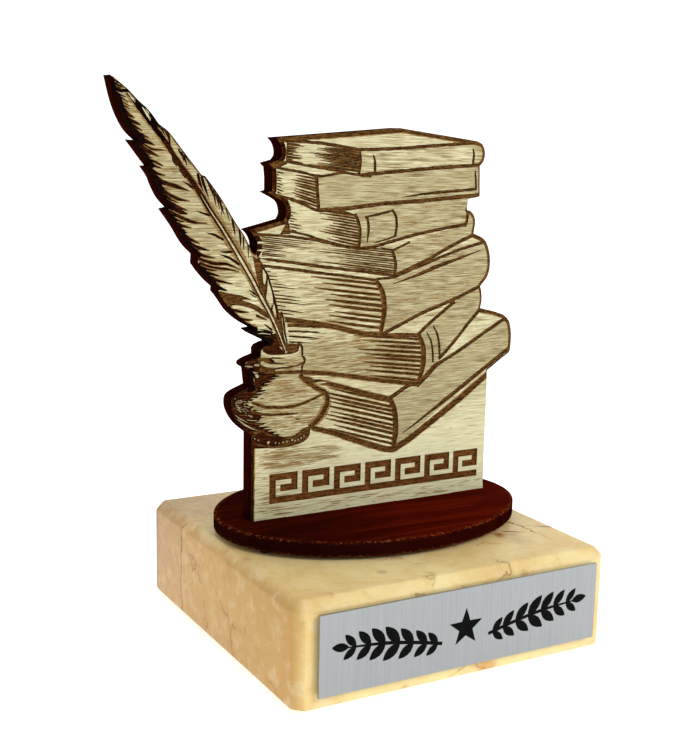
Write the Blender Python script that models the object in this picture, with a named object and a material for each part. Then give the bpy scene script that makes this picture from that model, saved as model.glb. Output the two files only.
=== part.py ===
"""Desk award: a flat wooden figure of a quill, an inkwell and a stack of seven books, tabbed into an oval
wooden foot that is taped to a bevelled stone block with a metal nameplate.

Metres, +Z up, the front faces -Y, and the origin is the middle of the felt's underside.
"""

import math

import bmesh
import bpy
from mathutils import Vector

MM = 0.001
GAP = 0.3 * MM                     # left between pieces that touch

FELT_THICKNESS = 0.6 * MM
FELT_INSET = 3.0 * MM              # the felt stops short of the stone's sides

STONE_SIDE = 70.0 * MM
STONE_HEIGHT = 20.4 * MM
STONE_CHAMFER = 1.9 * MM           # top and upright edges
STONE_ARRIS = 0.4 * MM             # bottom edges

TAPE_THICKNESS = 0.2 * MM
PLATE_WIDTH = 62.0 * MM
PLATE_HEIGHT = 15.5 * MM
PLATE_THICKNESS = 0.6 * MM
PLATE_LOWER_EDGE = 3.6 * MM        # above the surface that the award stands on
PLATE_TAPE_INSET = 1.0 * MM

FOOT_HALF_LENGTH = 33.5 * MM
FOOT_HALF_DEPTH = 24.5 * MM
FOOT_THICKNESS = 3.0 * MM
FOOT_ARRIS = 0.15 * MM
FOOT_SEGMENTS = 96
FOOT_CENTRE = Vector((0.5 * MM, 2.0 * MM, 0.0))

FOOT_TAPE_WIDTH = 8.0 * MM
FOOT_TAPE_LENGTH = 22.0 * MM
FOOT_TAPE_OFFSET = 25.5 * MM       # from the foot's centre to each strip's centre

BOARD_THICKNESS = 4.0 * MM
VENEER_THICKNESS = 0.6 * MM
TAB_WIDTH = 14.0 * MM
TAB_OFFSET = 13.0 * MM             # from the board's centre to each tab's centre

CURVE_STEPS = 4                    # points made for each stretch of a curved run
SAME_POINT = 0.01                  # outline points nearer than this, in millimetres, are one

STONE_BOTTOM_Z = FELT_THICKNESS + GAP
STONE_TOP_Z = STONE_BOTTOM_Z + STONE_HEIGHT
FOOT_BOTTOM_Z = STONE_TOP_Z + GAP + TAPE_THICKNESS + GAP
FOOT_TOP_Z = FOOT_BOTTOM_Z + FOOT_THICKNESS
BOARD_FRONT_Y = FOOT_CENTRE.y - BOARD_THICKNESS / 2.0


# ---------------------------------------------------------------- materials and objects


def make_material(name, colour, roughness, metallic=0.0):
    material = bpy.data.materials.new(name)
    material.use_nodes = True
    shader = material.node_tree.nodes["Principled BSDF"]
    shader.inputs["Base Color"].default_value = (*colour, 1.0)
    shader.inputs["Roughness"].default_value = roughness
    shader.inputs["Metallic"].default_value = metallic
    return material


def add_object(name, bm, location, material, parent):
    """Turns a bmesh into a named object, shaded smooth but for its real corners."""
    mesh = bpy.data.meshes.new(name)
    bmesh.ops.recalc_face_normals(bm, faces=bm.faces)
    bm.to_mesh(mesh)
    bm.free()
    mesh.shade_smooth()
    mesh.set_sharp_from_angle(angle=math.radians(30.0))
    mesh.materials.append(material)
    piece = bpy.data.objects.new(name, mesh)
    piece.location = location
    piece.parent = parent
    bpy.context.scene.collection.objects.link(piece)
    return piece


def box(size):
    """A box centred on its own origin."""
    bm = bmesh.new()
    bmesh.ops.create_cube(bm, size=1.0)
    bmesh.ops.scale(bm, vec=size, verts=bm.verts)
    return bm


def bevel_edges(bm, edges, width):
    bmesh.ops.bevel(bm, geom=edges, offset=width, segments=1, affect="EDGES", profile=0.5)


def lies_at(edge, z):
    return all(abs(vert.co.z - z) < 0.01 * MM for vert in edge.verts)


# ---------------------------------------------------------------- the figure's outline
# Millimetres: across from the foot's centre, and up from the foot's top face.


def curve(*points):
    """Points along a smooth curve through the given ones, both ends included."""
    knots = [Vector(p) for p in points]
    knots = [2.0 * knots[0] - knots[1]] + knots + [2.0 * knots[-1] - knots[-2]]
    run = []
    for before, start, end, after in zip(knots, knots[1:], knots[2:], knots[3:]):
        for step in range(CURVE_STEPS):
            t = step / CURVE_STEPS
            run.append(
                0.5 * (
                    2.0 * start
                    + (end - before) * t
                    + (2.0 * before - 5.0 * start + 4.0 * end - after) * t ** 2
                    + (3.0 * start - before - 3.0 * end + after) * t ** 3
                )
            )
    run.append(knots[-2])
    return run


def corners(*points):
    return [Vector(p) for p in points]


def inkwell_side():
    """From the panel's left edge up the inkwell's belly, spout, neck and rim."""
    belly = curve((-27.8, 17.7), (-30.1, 19.7), (-31.7, 22.1), (-32.2, 24.3), (-31.5, 26.0), (-28.0, 27.5))
    spout = curve((-28.4, 30.8), (-29.4, 31.5), (-29.3, 32.2), (-28.2, 32.8), (-26.3, 33.4))
    rim = curve((-26.3, 34.6), (-25.7, 35.3), (-23.9, 35.9))
    return belly + spout + rim


def quill_left_edge():
    """Up the wide vane: each run is one lock of barbs, and its last point is the lock's tip."""
    return (
        curve((-24.6, 36.3), (-26.0, 37.0), (-27.4, 37.7), (-28.7, 38.6))
        + curve((-27.1, 38.8), (-29.5, 40.2), (-31.9, 42.2), (-33.8, 44.8), (-35.0, 46.3))
        + curve((-34.9, 47.1), (-36.4, 48.4), (-38.0, 50.2), (-39.1, 51.7))
        + curve((-39.0, 53.4), (-41.1, 55.6), (-43.1, 58.8), (-45.4, 62.0))
        + curve((-44.2, 62.3), (-45.8, 64.0), (-47.0, 66.2), (-47.7, 67.9), (-49.0, 69.8))
        + curve((-48.1, 69.9), (-49.3, 71.4), (-50.6, 73.1), (-51.7, 74.5))
        + curve((-50.1, 74.4), (-51.9, 76.1), (-53.3, 78.4), (-54.5, 81.5), (-55.5, 85.7))
    )


def quill_right_edge():
    """Down the narrow vane, from below the quill's tip to the notch beside the fourth book."""
    return (
        curve((-54.0, 84.7), (-52.1, 83.2), (-50.3, 81.4))
        + curve((-48.9, 80.3), (-47.7, 79.0), (-46.5, 77.4))
        + curve((-45.9, 77.0), (-44.3, 75.7), (-41.1, 71.8), (-38.2, 68.3))
        + curve((-37.5, 68.1), (-34.5, 64.3), (-31.5, 59.7), (-29.3, 56.6), (-27.3, 52.7))
    )


def books_left_edge():
    """Up the fore-edges of books four, three, two and one, whose covers stand proud of the pages."""
    return (
        curve((-27.5, 53.1), (-26.8, 54.3), (-26.9, 55.7), (-27.6, 57.0), (-28.6, 57.9))
        + curve((-21.2, 59.7), (-20.7, 60.7), (-20.8, 62.0), (-21.3, 63.1), (-22.1, 63.7))
        + corners((-24.7, 65.0), (-23.7, 65.3), (-23.7, 67.7), (-23.9, 69.7), (-24.7, 70.5))
        + curve((-22.4, 71.1), (-21.8, 72.0), (-21.8, 73.1), (-22.3, 74.4), (-23.2, 75.3))
    )


def books_right_edge():
    """Down the spines and board edges of the seven books, from the apex of the top cover."""
    apex = corners((4.5, 77.6))
    book_1 = curve((23.3, 75.3), (24.8, 74.6), (25.5, 72.9), (25.2, 71.2), (24.3, 70.2))
    books_2_and_3 = corners((24.6, 63.9), (21.6, 63.4))
    book_4 = curve((21.5, 61.1), (22.5, 60.8), (23.4, 59.8), (23.7, 58.4), (23.4, 56.2))
    book_5 = curve((23.4, 56.2), (26.2, 54.9), (27.5, 52.7), (28.0, 49.8), (27.5, 47.1), (25.7, 44.9))
    book_6 = curve((25.7, 44.9), (26.1, 43.4), (26.2, 41.8), (25.9, 40.1))
    book_7 = (
        curve((25.9, 40.1), (28.9, 39.5), (32.1, 38.5))
        + curve((32.1, 38.5), (33.7, 37.0), (34.4, 34.4), (34.4, 31.2), (34.0, 30.0), (32.4, 29.0))
    )
    return apex + book_1 + books_2_and_3 + book_4 + book_5 + book_6 + book_7


def bottom_edge():
    """Right to left along the panel's lower edge, with the two tabs that go down through the foot."""
    shoulder = GAP / MM
    tab_end = -FOOT_THICKNESS / MM
    run = corners((28.4, 26.4), (28.5, shoulder))
    for centre in (TAB_OFFSET / MM, -TAB_OFFSET / MM):
        right = centre + TAB_WIDTH / 2.0 / MM
        left = centre - TAB_WIDTH / 2.0 / MM
        run += corners((right, shoulder), (right, tab_end), (left, tab_end), (left, shoulder))
    return run + corners((-27.8, shoulder))


def figure_outline():
    """The whole outline, with the points that two stretches share kept once."""
    stretches = (
        inkwell_side() + quill_left_edge() + quill_right_edge() + books_left_edge()
        + books_right_edge() + bottom_edge()
    )
    outline = stretches[:1]
    for point in stretches[1:]:
        if (point - outline[-1]).length > SAME_POINT:
            outline.append(point)
    return outline


def figure_layer(outline, thickness):
    """One sheet of the figure: the outline as a face, extruded backwards."""
    bm = bmesh.new()
    ring = [bm.verts.new((p.x * MM, 0.0, p.y * MM)) for p in outline]
    face = bm.faces.new(ring)
    back = bmesh.ops.extrude_face_region(bm, geom=[face])["geom"]
    moved = [v for v in back if isinstance(v, bmesh.types.BMVert)]
    bmesh.ops.translate(bm, verts=moved, vec=(0.0, thickness, 0.0))
    bmesh.ops.triangulate(bm, faces=[f for f in bm.faces if len(f.verts) > 4])
    return bm


# ---------------------------------------------------------------- pieces


def add_felt(parent):
    side = STONE_SIDE - 2.0 * FELT_INSET
    felt = make_material("felt", (0.025, 0.045, 0.03), 0.95)
    centre = Vector((0.0, 0.0, FELT_THICKNESS / 2.0))
    add_object("base_felt", box((side, side, FELT_THICKNESS)), centre, felt, parent)


def add_stone(parent):
    stone = make_material("stone", (0.78, 0.60, 0.36), 0.22)
    bm = box((STONE_SIDE, STONE_SIDE, STONE_HEIGHT))
    underside = -STONE_HEIGHT / 2.0
    bevel_edges(bm, [e for e in bm.edges if not lies_at(e, underside)], STONE_CHAMFER)
    bevel_edges(bm, [e for e in bm.edges if lies_at(e, underside)], STONE_ARRIS)
    centre = Vector((0.0, 0.0, STONE_BOTTOM_Z + STONE_HEIGHT / 2.0))
    add_object("marble_base", bm, centre, stone, parent)


def add_nameplate(parent):
    metal = make_material("brushed_metal", (0.62, 0.62, 0.64), 0.35, 1.0)
    adhesive = make_material("plate_adhesive", (0.75, 0.74, 0.70), 0.6)
    middle_z = PLATE_LOWER_EDGE + PLATE_HEIGHT / 2.0
    tape_size = (PLATE_WIDTH - 2.0 * PLATE_TAPE_INSET, TAPE_THICKNESS, PLATE_HEIGHT - 2.0 * PLATE_TAPE_INSET)
    tape_y = -STONE_SIDE / 2.0 - GAP - TAPE_THICKNESS / 2.0
    add_object("nameplate_tape", box(tape_size), Vector((0.0, tape_y, middle_z)), adhesive, parent)
    plate_y = tape_y - TAPE_THICKNESS / 2.0 - GAP - PLATE_THICKNESS / 2.0
    plate_size = (PLATE_WIDTH, PLATE_THICKNESS, PLATE_HEIGHT)
    add_object("nameplate", box(plate_size), Vector((0.0, plate_y, middle_z)), metal, parent)


def add_foot(parent):
    wood = make_material("foot_wood", (0.10, 0.018, 0.008), 0.35)
    bm = bmesh.new()
    bmesh.ops.create_cone(
        bm, cap_ends=True, segments=FOOT_SEGMENTS, radius1=1.0, radius2=1.0, depth=1.0
    )
    bmesh.ops.scale(bm, vec=(FOOT_HALF_LENGTH, FOOT_HALF_DEPTH, FOOT_THICKNESS), verts=bm.verts)
    half = FOOT_THICKNESS / 2.0
    bevel_edges(bm, [e for e in bm.edges if lies_at(e, half) or lies_at(e, -half)], FOOT_ARRIS)
    centre = FOOT_CENTRE + Vector((0.0, 0.0, FOOT_BOTTOM_Z + FOOT_THICKNESS / 2.0))
    foot = add_object("oval_foot", bm, centre, wood, parent)
    slot_size = (TAB_WIDTH + 2.0 * GAP, BOARD_THICKNESS + 2.0 * GAP, 2.0 * FOOT_THICKNESS)
    for side, label in ((-1.0, "left"), (1.0, "right")):
        place = centre + Vector((side * TAB_OFFSET, 0.0, 0.0))
        cutter = add_object("slot_cutter_" + label, box(slot_size), place, wood, parent)
        cutter.hide_render = True
        cutter.display_type = "WIRE"
        slot = foot.modifiers.new("slot_" + label, "BOOLEAN")
        slot.operation = "DIFFERENCE"
        slot.object = cutter


def add_foot_tapes(parent):
    adhesive = make_material("foot_adhesive", (0.05, 0.05, 0.05), 0.8)
    size = (FOOT_TAPE_WIDTH, FOOT_TAPE_LENGTH, TAPE_THICKNESS)
    middle_z = STONE_TOP_Z + GAP + TAPE_THICKNESS / 2.0
    for side, label in ((-1.0, "left"), (1.0, "right")):
        place = FOOT_CENTRE + Vector((side * FOOT_TAPE_OFFSET, 0.0, middle_z))
        add_object("foot_tape_" + label, box(size), place, adhesive, parent)


def add_figure(parent):
    """The board: a dark core between a pale front veneer and a back veneer, all on one outline."""
    outline = figure_outline()
    core_thickness = BOARD_THICKNESS - 2.0 * (VENEER_THICKNESS + GAP)
    core_y = BOARD_FRONT_Y + VENEER_THICKNESS + GAP
    back_y = core_y + core_thickness + GAP
    layers = (
        ("figure_face", "face_veneer", (0.62, 0.55, 0.34), BOARD_FRONT_Y, VENEER_THICKNESS),
        ("figure_core", "charred_core", (0.035, 0.008, 0.005), core_y, core_thickness),
        ("figure_back", "back_veneer", (0.45, 0.34, 0.20), back_y, VENEER_THICKNESS),
    )
    for name, material_name, colour, front_y, thickness in layers:
        wood = make_material(material_name, colour, 0.6)
        place = Vector((FOOT_CENTRE.x, front_y, FOOT_TOP_Z))
        add_object(name, figure_layer(outline, thickness), place, wood, parent)


def main():
    for old in list(bpy.data.objects):
        bpy.data.objects.remove(old, do_unlink=True)
    award = bpy.data.objects.new("award", None)
    bpy.context.scene.collection.objects.link(award)
    add_felt(award)
    add_stone(award)
    add_nameplate(award)
    add_foot_tapes(award)
    add_foot(award)
    add_figure(award)


main()
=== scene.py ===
"""Looks of the desk award: an engraved wooden figure of a quill, an inkwell and seven books, standing in
an oval foot on a stone block with a metal plate.

Lengths are in metres unless a comment says millimetres. The engraving is drawn in millimetres, across
and up from a point half a millimetre right of the foot's centre and just below its top face.
"""

import math
import random

import bmesh
import bpy
import numpy as np
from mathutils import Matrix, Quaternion, Vector, geometry, noise


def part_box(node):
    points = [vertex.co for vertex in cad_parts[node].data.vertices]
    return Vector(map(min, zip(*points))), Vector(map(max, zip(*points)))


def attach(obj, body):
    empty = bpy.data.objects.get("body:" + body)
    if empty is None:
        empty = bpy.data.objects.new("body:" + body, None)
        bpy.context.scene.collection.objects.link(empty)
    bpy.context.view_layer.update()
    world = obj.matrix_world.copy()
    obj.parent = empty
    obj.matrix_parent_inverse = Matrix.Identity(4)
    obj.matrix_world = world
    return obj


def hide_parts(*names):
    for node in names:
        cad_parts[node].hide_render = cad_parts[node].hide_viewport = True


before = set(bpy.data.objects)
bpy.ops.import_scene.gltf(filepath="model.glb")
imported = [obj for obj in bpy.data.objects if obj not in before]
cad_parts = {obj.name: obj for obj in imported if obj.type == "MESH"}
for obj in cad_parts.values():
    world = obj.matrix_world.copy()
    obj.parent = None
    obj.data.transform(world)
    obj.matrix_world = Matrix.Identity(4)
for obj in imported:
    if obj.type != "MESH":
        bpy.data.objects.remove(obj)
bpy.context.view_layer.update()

MM = 0.001

FOOT_LOW, FOOT_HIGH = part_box("oval_foot")
CENTRE_X = (FOOT_LOW.x + FOOT_HIGH.x) / 2.0 / MM + 0.5      # millimetres, where the drawing starts across
BASE_Z = FOOT_HIGH.z / MM - 0.2                             # millimetres, where the drawing starts upwards

GROOVE_DEPTH = 0.30      # millimetres
SEAT_GAP = 0.02          # millimetres, between the board's layers and from the board to the foot
NEAR = 0.5               # millimetres, more than the gaps that the CAD leaves between its pieces
BOARD_HALF = 29.0        # millimetres, to each side of the drawing's start, where the board stands
BARE, SHADE, SCORCH = "bare", "shade", "scorch"        # finishes level with the board's face
SOOT_AND_SHADOW, DARK, BROWN, WARM = "soot", "dark", "brown", "warm"      # finishes at the bottom of a groove
LEVEL_TONES = (BARE, SHADE, SCORCH)


# ---------------------------------------------------------------- node materials


class Shader:
    """A Principled material and short ways to add the nodes that colour it. Places are in millimetres."""

    def __init__(self, name, roughness=0.5, metallic=0.0, specular=0.5):
        self.material = bpy.data.materials.new(name)
        self.material.use_nodes = True
        self.tree = self.material.node_tree
        self.surface = self.tree.nodes["Principled BSDF"]
        self.surface.inputs["Roughness"].default_value = roughness
        self.surface.inputs["Metallic"].default_value = metallic
        self.surface.inputs["Specular IOR Level"].default_value = specular
        self.place = self.tree.nodes.new("ShaderNodeTexCoord").outputs["Object"]

    def add(self, kind, inputs=(), **settings):
        node = self.tree.nodes.new("ShaderNode" + kind)
        for key, value in settings.items():
            setattr(node, key, value)
        for key, value in dict(inputs).items():
            if isinstance(value, bpy.types.NodeSocket):
                self.tree.links.new(value, node.inputs[key])
            else:
                node.inputs[key].default_value = value
        return node

    def mapped(self, per_mm=(1.0, 1.0, 1.0), shift=(0.0, 0.0, 0.0)):
        """The place, with each axis counted in features per millimetre."""
        scale = [value / MM for value in per_mm]
        return self.add("Mapping", {"Vector": self.place, "Scale": scale, "Location": shift}).outputs[0]

    def noise(self, per_mm, detail=4.0, roughness=0.55, distortion=0.0, shift=(0.0, 0.0, 0.0)):
        if not isinstance(per_mm, tuple):
            per_mm = (per_mm, per_mm, per_mm)
        inputs = {
            "Vector": self.mapped(per_mm, shift), "Scale": 1.0, "Detail": detail,
            "Roughness": roughness, "Distortion": distortion,
        }
        return self.add("TexNoise", inputs).outputs["Fac"]

    def cells(self, per_mm, feature="F1", shift=(0.0, 0.0, 0.0), vector=None):
        vector = vector or self.mapped((per_mm, per_mm, per_mm), shift)
        return self.add("TexVoronoi", {"Vector": vector, "Scale": 1.0}, feature=feature).outputs["Distance"]

    def math(self, operation, first, second=0.0):
        return self.add("Math", {0: first, 1: second}, operation=operation).outputs[0]

    def times(self, first, second):
        return self.math("MULTIPLY", first, second)

    def plus(self, first, second):
        return self.math("ADD", first, second)

    def less(self, first, second):
        return self.math("SUBTRACT", first, second)

    def step(self, value, low, high, bottom=0.0, top=1.0):
        """Smoothly from bottom to top as value goes from low to high."""
        inputs = {"Value": value, 1: low, 2: high, 3: bottom, 4: top}
        return self.add("MapRange", inputs, interpolation_type="SMOOTHSTEP").outputs[0]

    def mix(self, share, first, second):
        def colour(value):
            return value if isinstance(value, bpy.types.NodeSocket) else (*value, 1.0)
        inputs = {0: share, 6: colour(first), 7: colour(second)}
        return self.add("Mix", inputs, data_type="RGBA").outputs[2]

    def axis(self, name):
        """One axis of the place, in millimetres."""
        return self.add("SeparateXYZ", {0: self.mapped()}).outputs[name]

    def finish(self, colour, roughness=None, height=None, bump_mm=0.05, strength=1.0):
        """Links colour, roughness and a bump whose height runs over bump_mm."""
        self.tree.links.new(colour, self.surface.inputs["Base Color"])
        if roughness is not None:
            self.tree.links.new(roughness, self.surface.inputs["Roughness"])
        if height is not None:
            inputs = {"Height": height, "Distance": bump_mm * MM, "Strength": strength}
            self.tree.links.new(self.add("Bump", inputs).outputs[0], self.surface.inputs["Normal"])
        return self.material


def srgb(red, green, blue):
    """Linear colour from 8-bit screen values."""
    def linear(value):
        value /= 255.0
        return value / 12.92 if value <= 0.04045 else ((value + 0.055) / 1.055) ** 2.4
    return (linear(red), linear(green), linear(blue))


def pale_wood(name, light, olive, streak, amount=1.0, painted_light=0.0):
    """Limed wood with fine streaks along X: pale and olive by turns, and brown in patches.

    amount is the weight of the brown, and the last argument paints light onto the lowest part of the board,
    less of it to the left.
    """
    s = Shader(name, roughness=0.75, specular=0.08)
    fine = s.noise((0.17, 0.5, 5.4), detail=4.0, roughness=0.65)
    thin = s.noise((0.32, 0.8, 8.5), detail=3.0, roughness=0.65, shift=(5.0, 0.0, 1.0))
    broad = s.noise((0.09, 0.3, 1.3), detail=3.0, distortion=0.4, shift=(3.0, 0.0, 7.0))
    patches = s.noise((0.07, 0.07, 0.20), detail=3.0, shift=(11.0, 0.0, 4.0))
    density = s.step(patches, 0.40, 0.64, 0.15, 1.0)
    colour = s.mix(s.step(fine, 0.42, 0.58), light, olive)
    colour = s.mix(s.step(broad, 0.40, 0.66, 0.0, 0.45), colour, olive)
    brown = s.times(s.step(fine, 0.50, 0.64, 0.0, 0.75 * amount), density)
    colour = s.mix(brown, colour, streak)
    pores = s.step(thin, 0.54, 0.64)
    depth = s.step(density, 0.0, 1.0, 0.22, 0.55 * amount)
    colour = s.mix(s.times(pores, depth), colour, streak)
    chalk = s.step(thin, 0.46, 0.36, 0.0, 0.45)
    colour = s.mix(chalk, colour, light)
    if painted_light:
        # Painted light: the lowest part of the board is made paler, less of it towards the left.
        lowest = s.step(s.axis("Z"), BASE_Z + 26.0, BASE_Z + 12.0, 0.0, painted_light)
        rightward = s.step(s.axis("X"), CENTRE_X - 28.0, CENTRE_X + 4.0, 0.3, 1.0)
        colour = s.mix(s.times(lowest, rightward), colour, srgb(246, 244, 204))
    height = s.less(1.0, s.math("MAXIMUM", brown, pores))
    return s.finish(colour, height=height, bump_mm=0.05, strength=0.5)


def burnt_wood(name, deep, warm, warmth):
    """The floor of an engraved groove: scorched grain, with warmer ridges left between the streaks."""
    s = Shader(name, roughness=0.9, specular=0.03)
    grain = s.noise((0.5, 0.6, 5.5), detail=4.0, roughness=0.65, distortion=0.3)
    soot = s.noise(0.9, detail=4.0, shift=(2.0, 5.0, 1.0))
    ridges = s.step(grain, 0.42, 0.66, 0.0, warmth)
    colour = s.mix(ridges, deep, warm)
    colour = s.mix(s.step(soot, 0.50, 0.72, 0.0, 0.6), colour, deep)
    specks = s.noise((2.2, 2.2, 4.0), detail=2.0, roughness=0.7, shift=(7.0, 1.0, 3.0))
    colour = s.mix(s.step(specks, 0.52, 0.62, 0.0, 0.55 * warmth), colour, warm)
    return s.finish(colour, height=grain, bump_mm=0.12, strength=0.8)


def charred_edge(name):
    """A laser-cut edge: black by the engraved face, burgundy brown further back, with fine cut lines."""
    s = Shader(name, roughness=0.85, specular=0.0)
    depth = s.axis("Y")
    cut_lines = s.noise((2.6, 0.10, 2.6), detail=3.0, roughness=0.6)
    soot = s.noise((0.35, 0.5, 0.35), detail=4.0, shift=(4.0, 1.0, 9.0))
    wander = s.plus(depth, s.times(soot, 2.6))
    black, burgundy, brown = srgb(8, 2, 1), srgb(38, 7, 3), srgb(74, 22, 9)
    colour = s.mix(s.step(wander, 0.3, 4.2), black, burgundy)
    flecks = s.times(s.step(cut_lines, 0.60, 0.78), s.step(soot, 0.45, 0.65, 0.1, 0.7))
    colour = s.mix(flecks, colour, brown)
    return s.finish(colour, height=cut_lines, bump_mm=0.10, strength=0.8)


def mahogany(name):
    """Wood stained dark red-brown, its grain along X, with a painted highlight speckled paler along its
    arrises and painted shade towards the left.
    """
    s = Shader(name, roughness=0.5, specular=0.0)
    rings = s.noise((0.022, 0.28, 0.28), detail=5.0, roughness=0.6, distortion=0.8)
    pores = s.noise((0.35, 5.0, 5.0), detail=3.0, roughness=0.6)
    cloud = s.noise((0.05, 0.09, 0.09), detail=2.0, shift=(9.0, 2.0, 0.0))
    colour = s.mix(s.step(rings, 0.32, 0.68), srgb(64, 9, 3), srgb(98, 24, 8))
    colour = s.mix(s.step(cloud, 0.40, 0.70, 0.0, 0.55), colour, srgb(46, 8, 3))
    colour = s.mix(s.step(pores, 0.58, 0.74, 0.0, 0.75), colour, srgb(18, 4, 2))
    middle = (FOOT_LOW + FOOT_HIGH) / 2.0 / MM
    half = (FOOT_HIGH - FOOT_LOW) / 2.0 / MM
    across = s.less(s.axis("X"), middle.x)
    along = s.less(s.axis("Y"), middle.y)
    share_x = s.math("POWER", s.math("DIVIDE", across, half.x), 2.0)
    share_y = s.math("POWER", s.math("DIVIDE", along, half.y), 2.0)
    rim = s.step(s.plus(share_x, share_y), 0.93, 0.985)
    off_middle = s.math("ABSOLUTE", s.less(s.axis("Z"), middle.z))
    arris = s.times(rim, s.step(off_middle, 0.9, 1.4))
    speckle = s.step(s.noise(1.7, detail=3.0, roughness=0.7), 0.52, 0.62)
    wall = s.times(rim, s.step(off_middle, 1.42, 1.2))
    colour = s.mix(s.times(wall, 0.8), colour, srgb(22, 4, 2))
    # Painted shade: darker towards the left, so that the middle and right keep a painted sheen.
    colour = s.mix(s.step(across, 6.0, -24.0, 0.0, 0.7), colour, srgb(24, 6, 3))
    # Painted highlight: a paler speckle along the arrises.
    colour = s.mix(s.times(s.times(arris, speckle), 0.6), colour, srgb(150, 84, 44))
    roughness = s.step(pores, 0.3, 0.8, 0.30, 0.55)
    return s.finish(colour, roughness, pores, bump_mm=0.05, strength=0.5)


def limestone(name):
    """Polished beige stone: cream, tan to the left partly as painted shade, with fossil spots, fine specks
    and rusty cracks.
    """
    s = Shader(name, roughness=0.3, specular=0.06)
    cream, tan, pale = srgb(242, 222, 162), srgb(226, 197, 134), srgb(246, 235, 202)
    low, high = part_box("marble_base")
    cloud = s.noise(0.045, detail=5.0, roughness=0.6, distortion=0.6)
    mottle = s.noise(0.32, detail=5.0, roughness=0.65, shift=(8.0, 3.0, 1.0))
    # The left side turns tan: partly the stone's own colour, partly painted shade.
    left_tan_and_shade = s.step(s.axis("X"), low.x / MM + 2.5, low.x / MM, 0.0, 0.9)
    colour = s.mix(s.step(cloud, 0.36, 0.66), cream, tan)
    colour = s.mix(left_tan_and_shade, colour, srgb(196, 153, 92))
    colour = s.mix(s.step(mottle, 0.48, 0.70, 0.0, 0.26), colour, pale)
    colour = s.mix(s.step(mottle, 0.44, 0.28, 0.0, 0.32), colour, srgb(200, 164, 108))
    spots = s.cells(0.22, shift=(2.0, 7.0, 5.0))
    chosen = s.step(s.noise(0.12, detail=2.0, shift=(1.0, 9.0, 3.0)), 0.50, 0.60)
    spot = s.times(s.step(spots, 0.34, 0.16), chosen)
    colour = s.mix(s.times(spot, 0.45), colour, srgb(184, 142, 92))
    specks = s.step(s.noise(1.4, detail=3.0, roughness=0.7, shift=(3.0, 3.0, 8.0)), 0.68, 0.76)
    colour = s.mix(s.times(specks, 0.5), colour, srgb(140, 98, 54))
    wobble = s.add("TexNoise", {"Vector": s.mapped((0.08, 0.08, 0.08)), "Scale": 1.0, "Detail": 4.0})
    straight = s.mapped((0.042, 0.042, 0.042), (3.3, 1.2, 0.4))
    bent = s.add("VectorMath", {0: straight, 1: wobble.outputs["Color"]}, operation="ADD").outputs[0]
    veins = s.cells(0.0, feature="DISTANCE_TO_EDGE", vector=bent)
    sparse = s.step(s.noise(0.05, detail=2.0, shift=(6.0, 0.0, 2.0)), 0.50, 0.60)
    vein = s.times(s.step(veins, 0.010, 0.002), sparse)
    halo = s.times(s.step(veins, 0.06, 0.0), sparse)
    colour = s.mix(s.times(halo, 0.22), colour, srgb(190, 140, 88))
    colour = s.mix(s.times(vein, 0.6), colour, srgb(120, 74, 40))

    def near(x, y, z, radius):
        """One close to a place, fading out unevenly at a radius, all in millimetres."""
        away = s.add("VectorMath", {0: s.mapped(), 1: (x, y, z)}, operation="DISTANCE").outputs["Value"]
        return s.step(s.plus(away, s.times(mottle, radius)), 1.3 * radius, 0.6 * radius)

    def tint(share, part, *tone):
        return s.mix(s.times(part, share), colour, srgb(*tone))

    def crack(along, where, sway, width, shift, part):
        """A crack where along passes a value, swaying on its way, over a part of the stone."""
        bend = s.times(s.noise(0.16, detail=4.0, roughness=0.6, shift=shift), sway)
        off = s.math("ABSOLUTE", s.less(s.plus(along, bend), where + sway / 2.0))
        return s.times(s.step(off, width, 0.3 * width), part)

    right, front, back, top = high.x / MM, low.y / MM, high.y / MM, high.z / MM
    left_side = s.step(s.axis("X"), low.x / MM + 1.2, low.x / MM + 0.6)
    corner = near(right - 6.0, front + 22.0, top, 22.0)
    slanted = s.plus(s.axis("Y"), s.times(s.axis("X"), 0.72))
    cracks = [
        crack(s.axis("Y"), back - 17.0, 3.0, 0.22, (1.0, 4.0, 2.0), left_side),
        crack(s.axis("Y"), back - 2.6, 2.0, 0.22, (5.0, 2.0, 2.0), left_side),
        crack(slanted, -1.4, 1.2, 0.55, (2.0, 2.0, 6.0), near(right - 12.0, front + 17.0, top, 5.5)),
        crack(slanted, 4.4, 1.6, 0.6, (7.0, 5.0, 1.0), near(right - 2.5, front + 16.0, top, 7.0)),
        crack(s.axis("X"), right - 8.0, 9.0, 0.45, (3.0, 8.0, 4.0), corner),
    ]
    upward, rearward = s.step(s.axis("Z"), top - 1.0, top), s.step(s.axis("Y"), front + 8.0, front + 24.0)
    # Darker tan over the top face towards the back, and around the back left corner of the top.
    colour = tint(0.3, s.times(upward, rearward), 186, 148, 96)
    colour = tint(0.8, near(low.x / MM, back, top, 32.0), 178, 144, 98)
    colour = tint(0.45, near(right - 13.5, front + 12.0, top, 5.0), 178, 150, 120)
    colour = tint(0.8, near(right - 15.0, front + 16.5, top, 2.6), 150, 84, 34)
    colour = tint(0.55, near(6.0, front, 2.0, 4.5), 206, 138, 70)
    for one in cracks:
        colour = tint(0.9, one, 106, 48, 22)
    roughness = s.step(mottle, 0.3, 0.8, 0.24, 0.36)
    return s.finish(colour, roughness, s.less(1.0, specks), bump_mm=0.02, strength=0.3)


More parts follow.
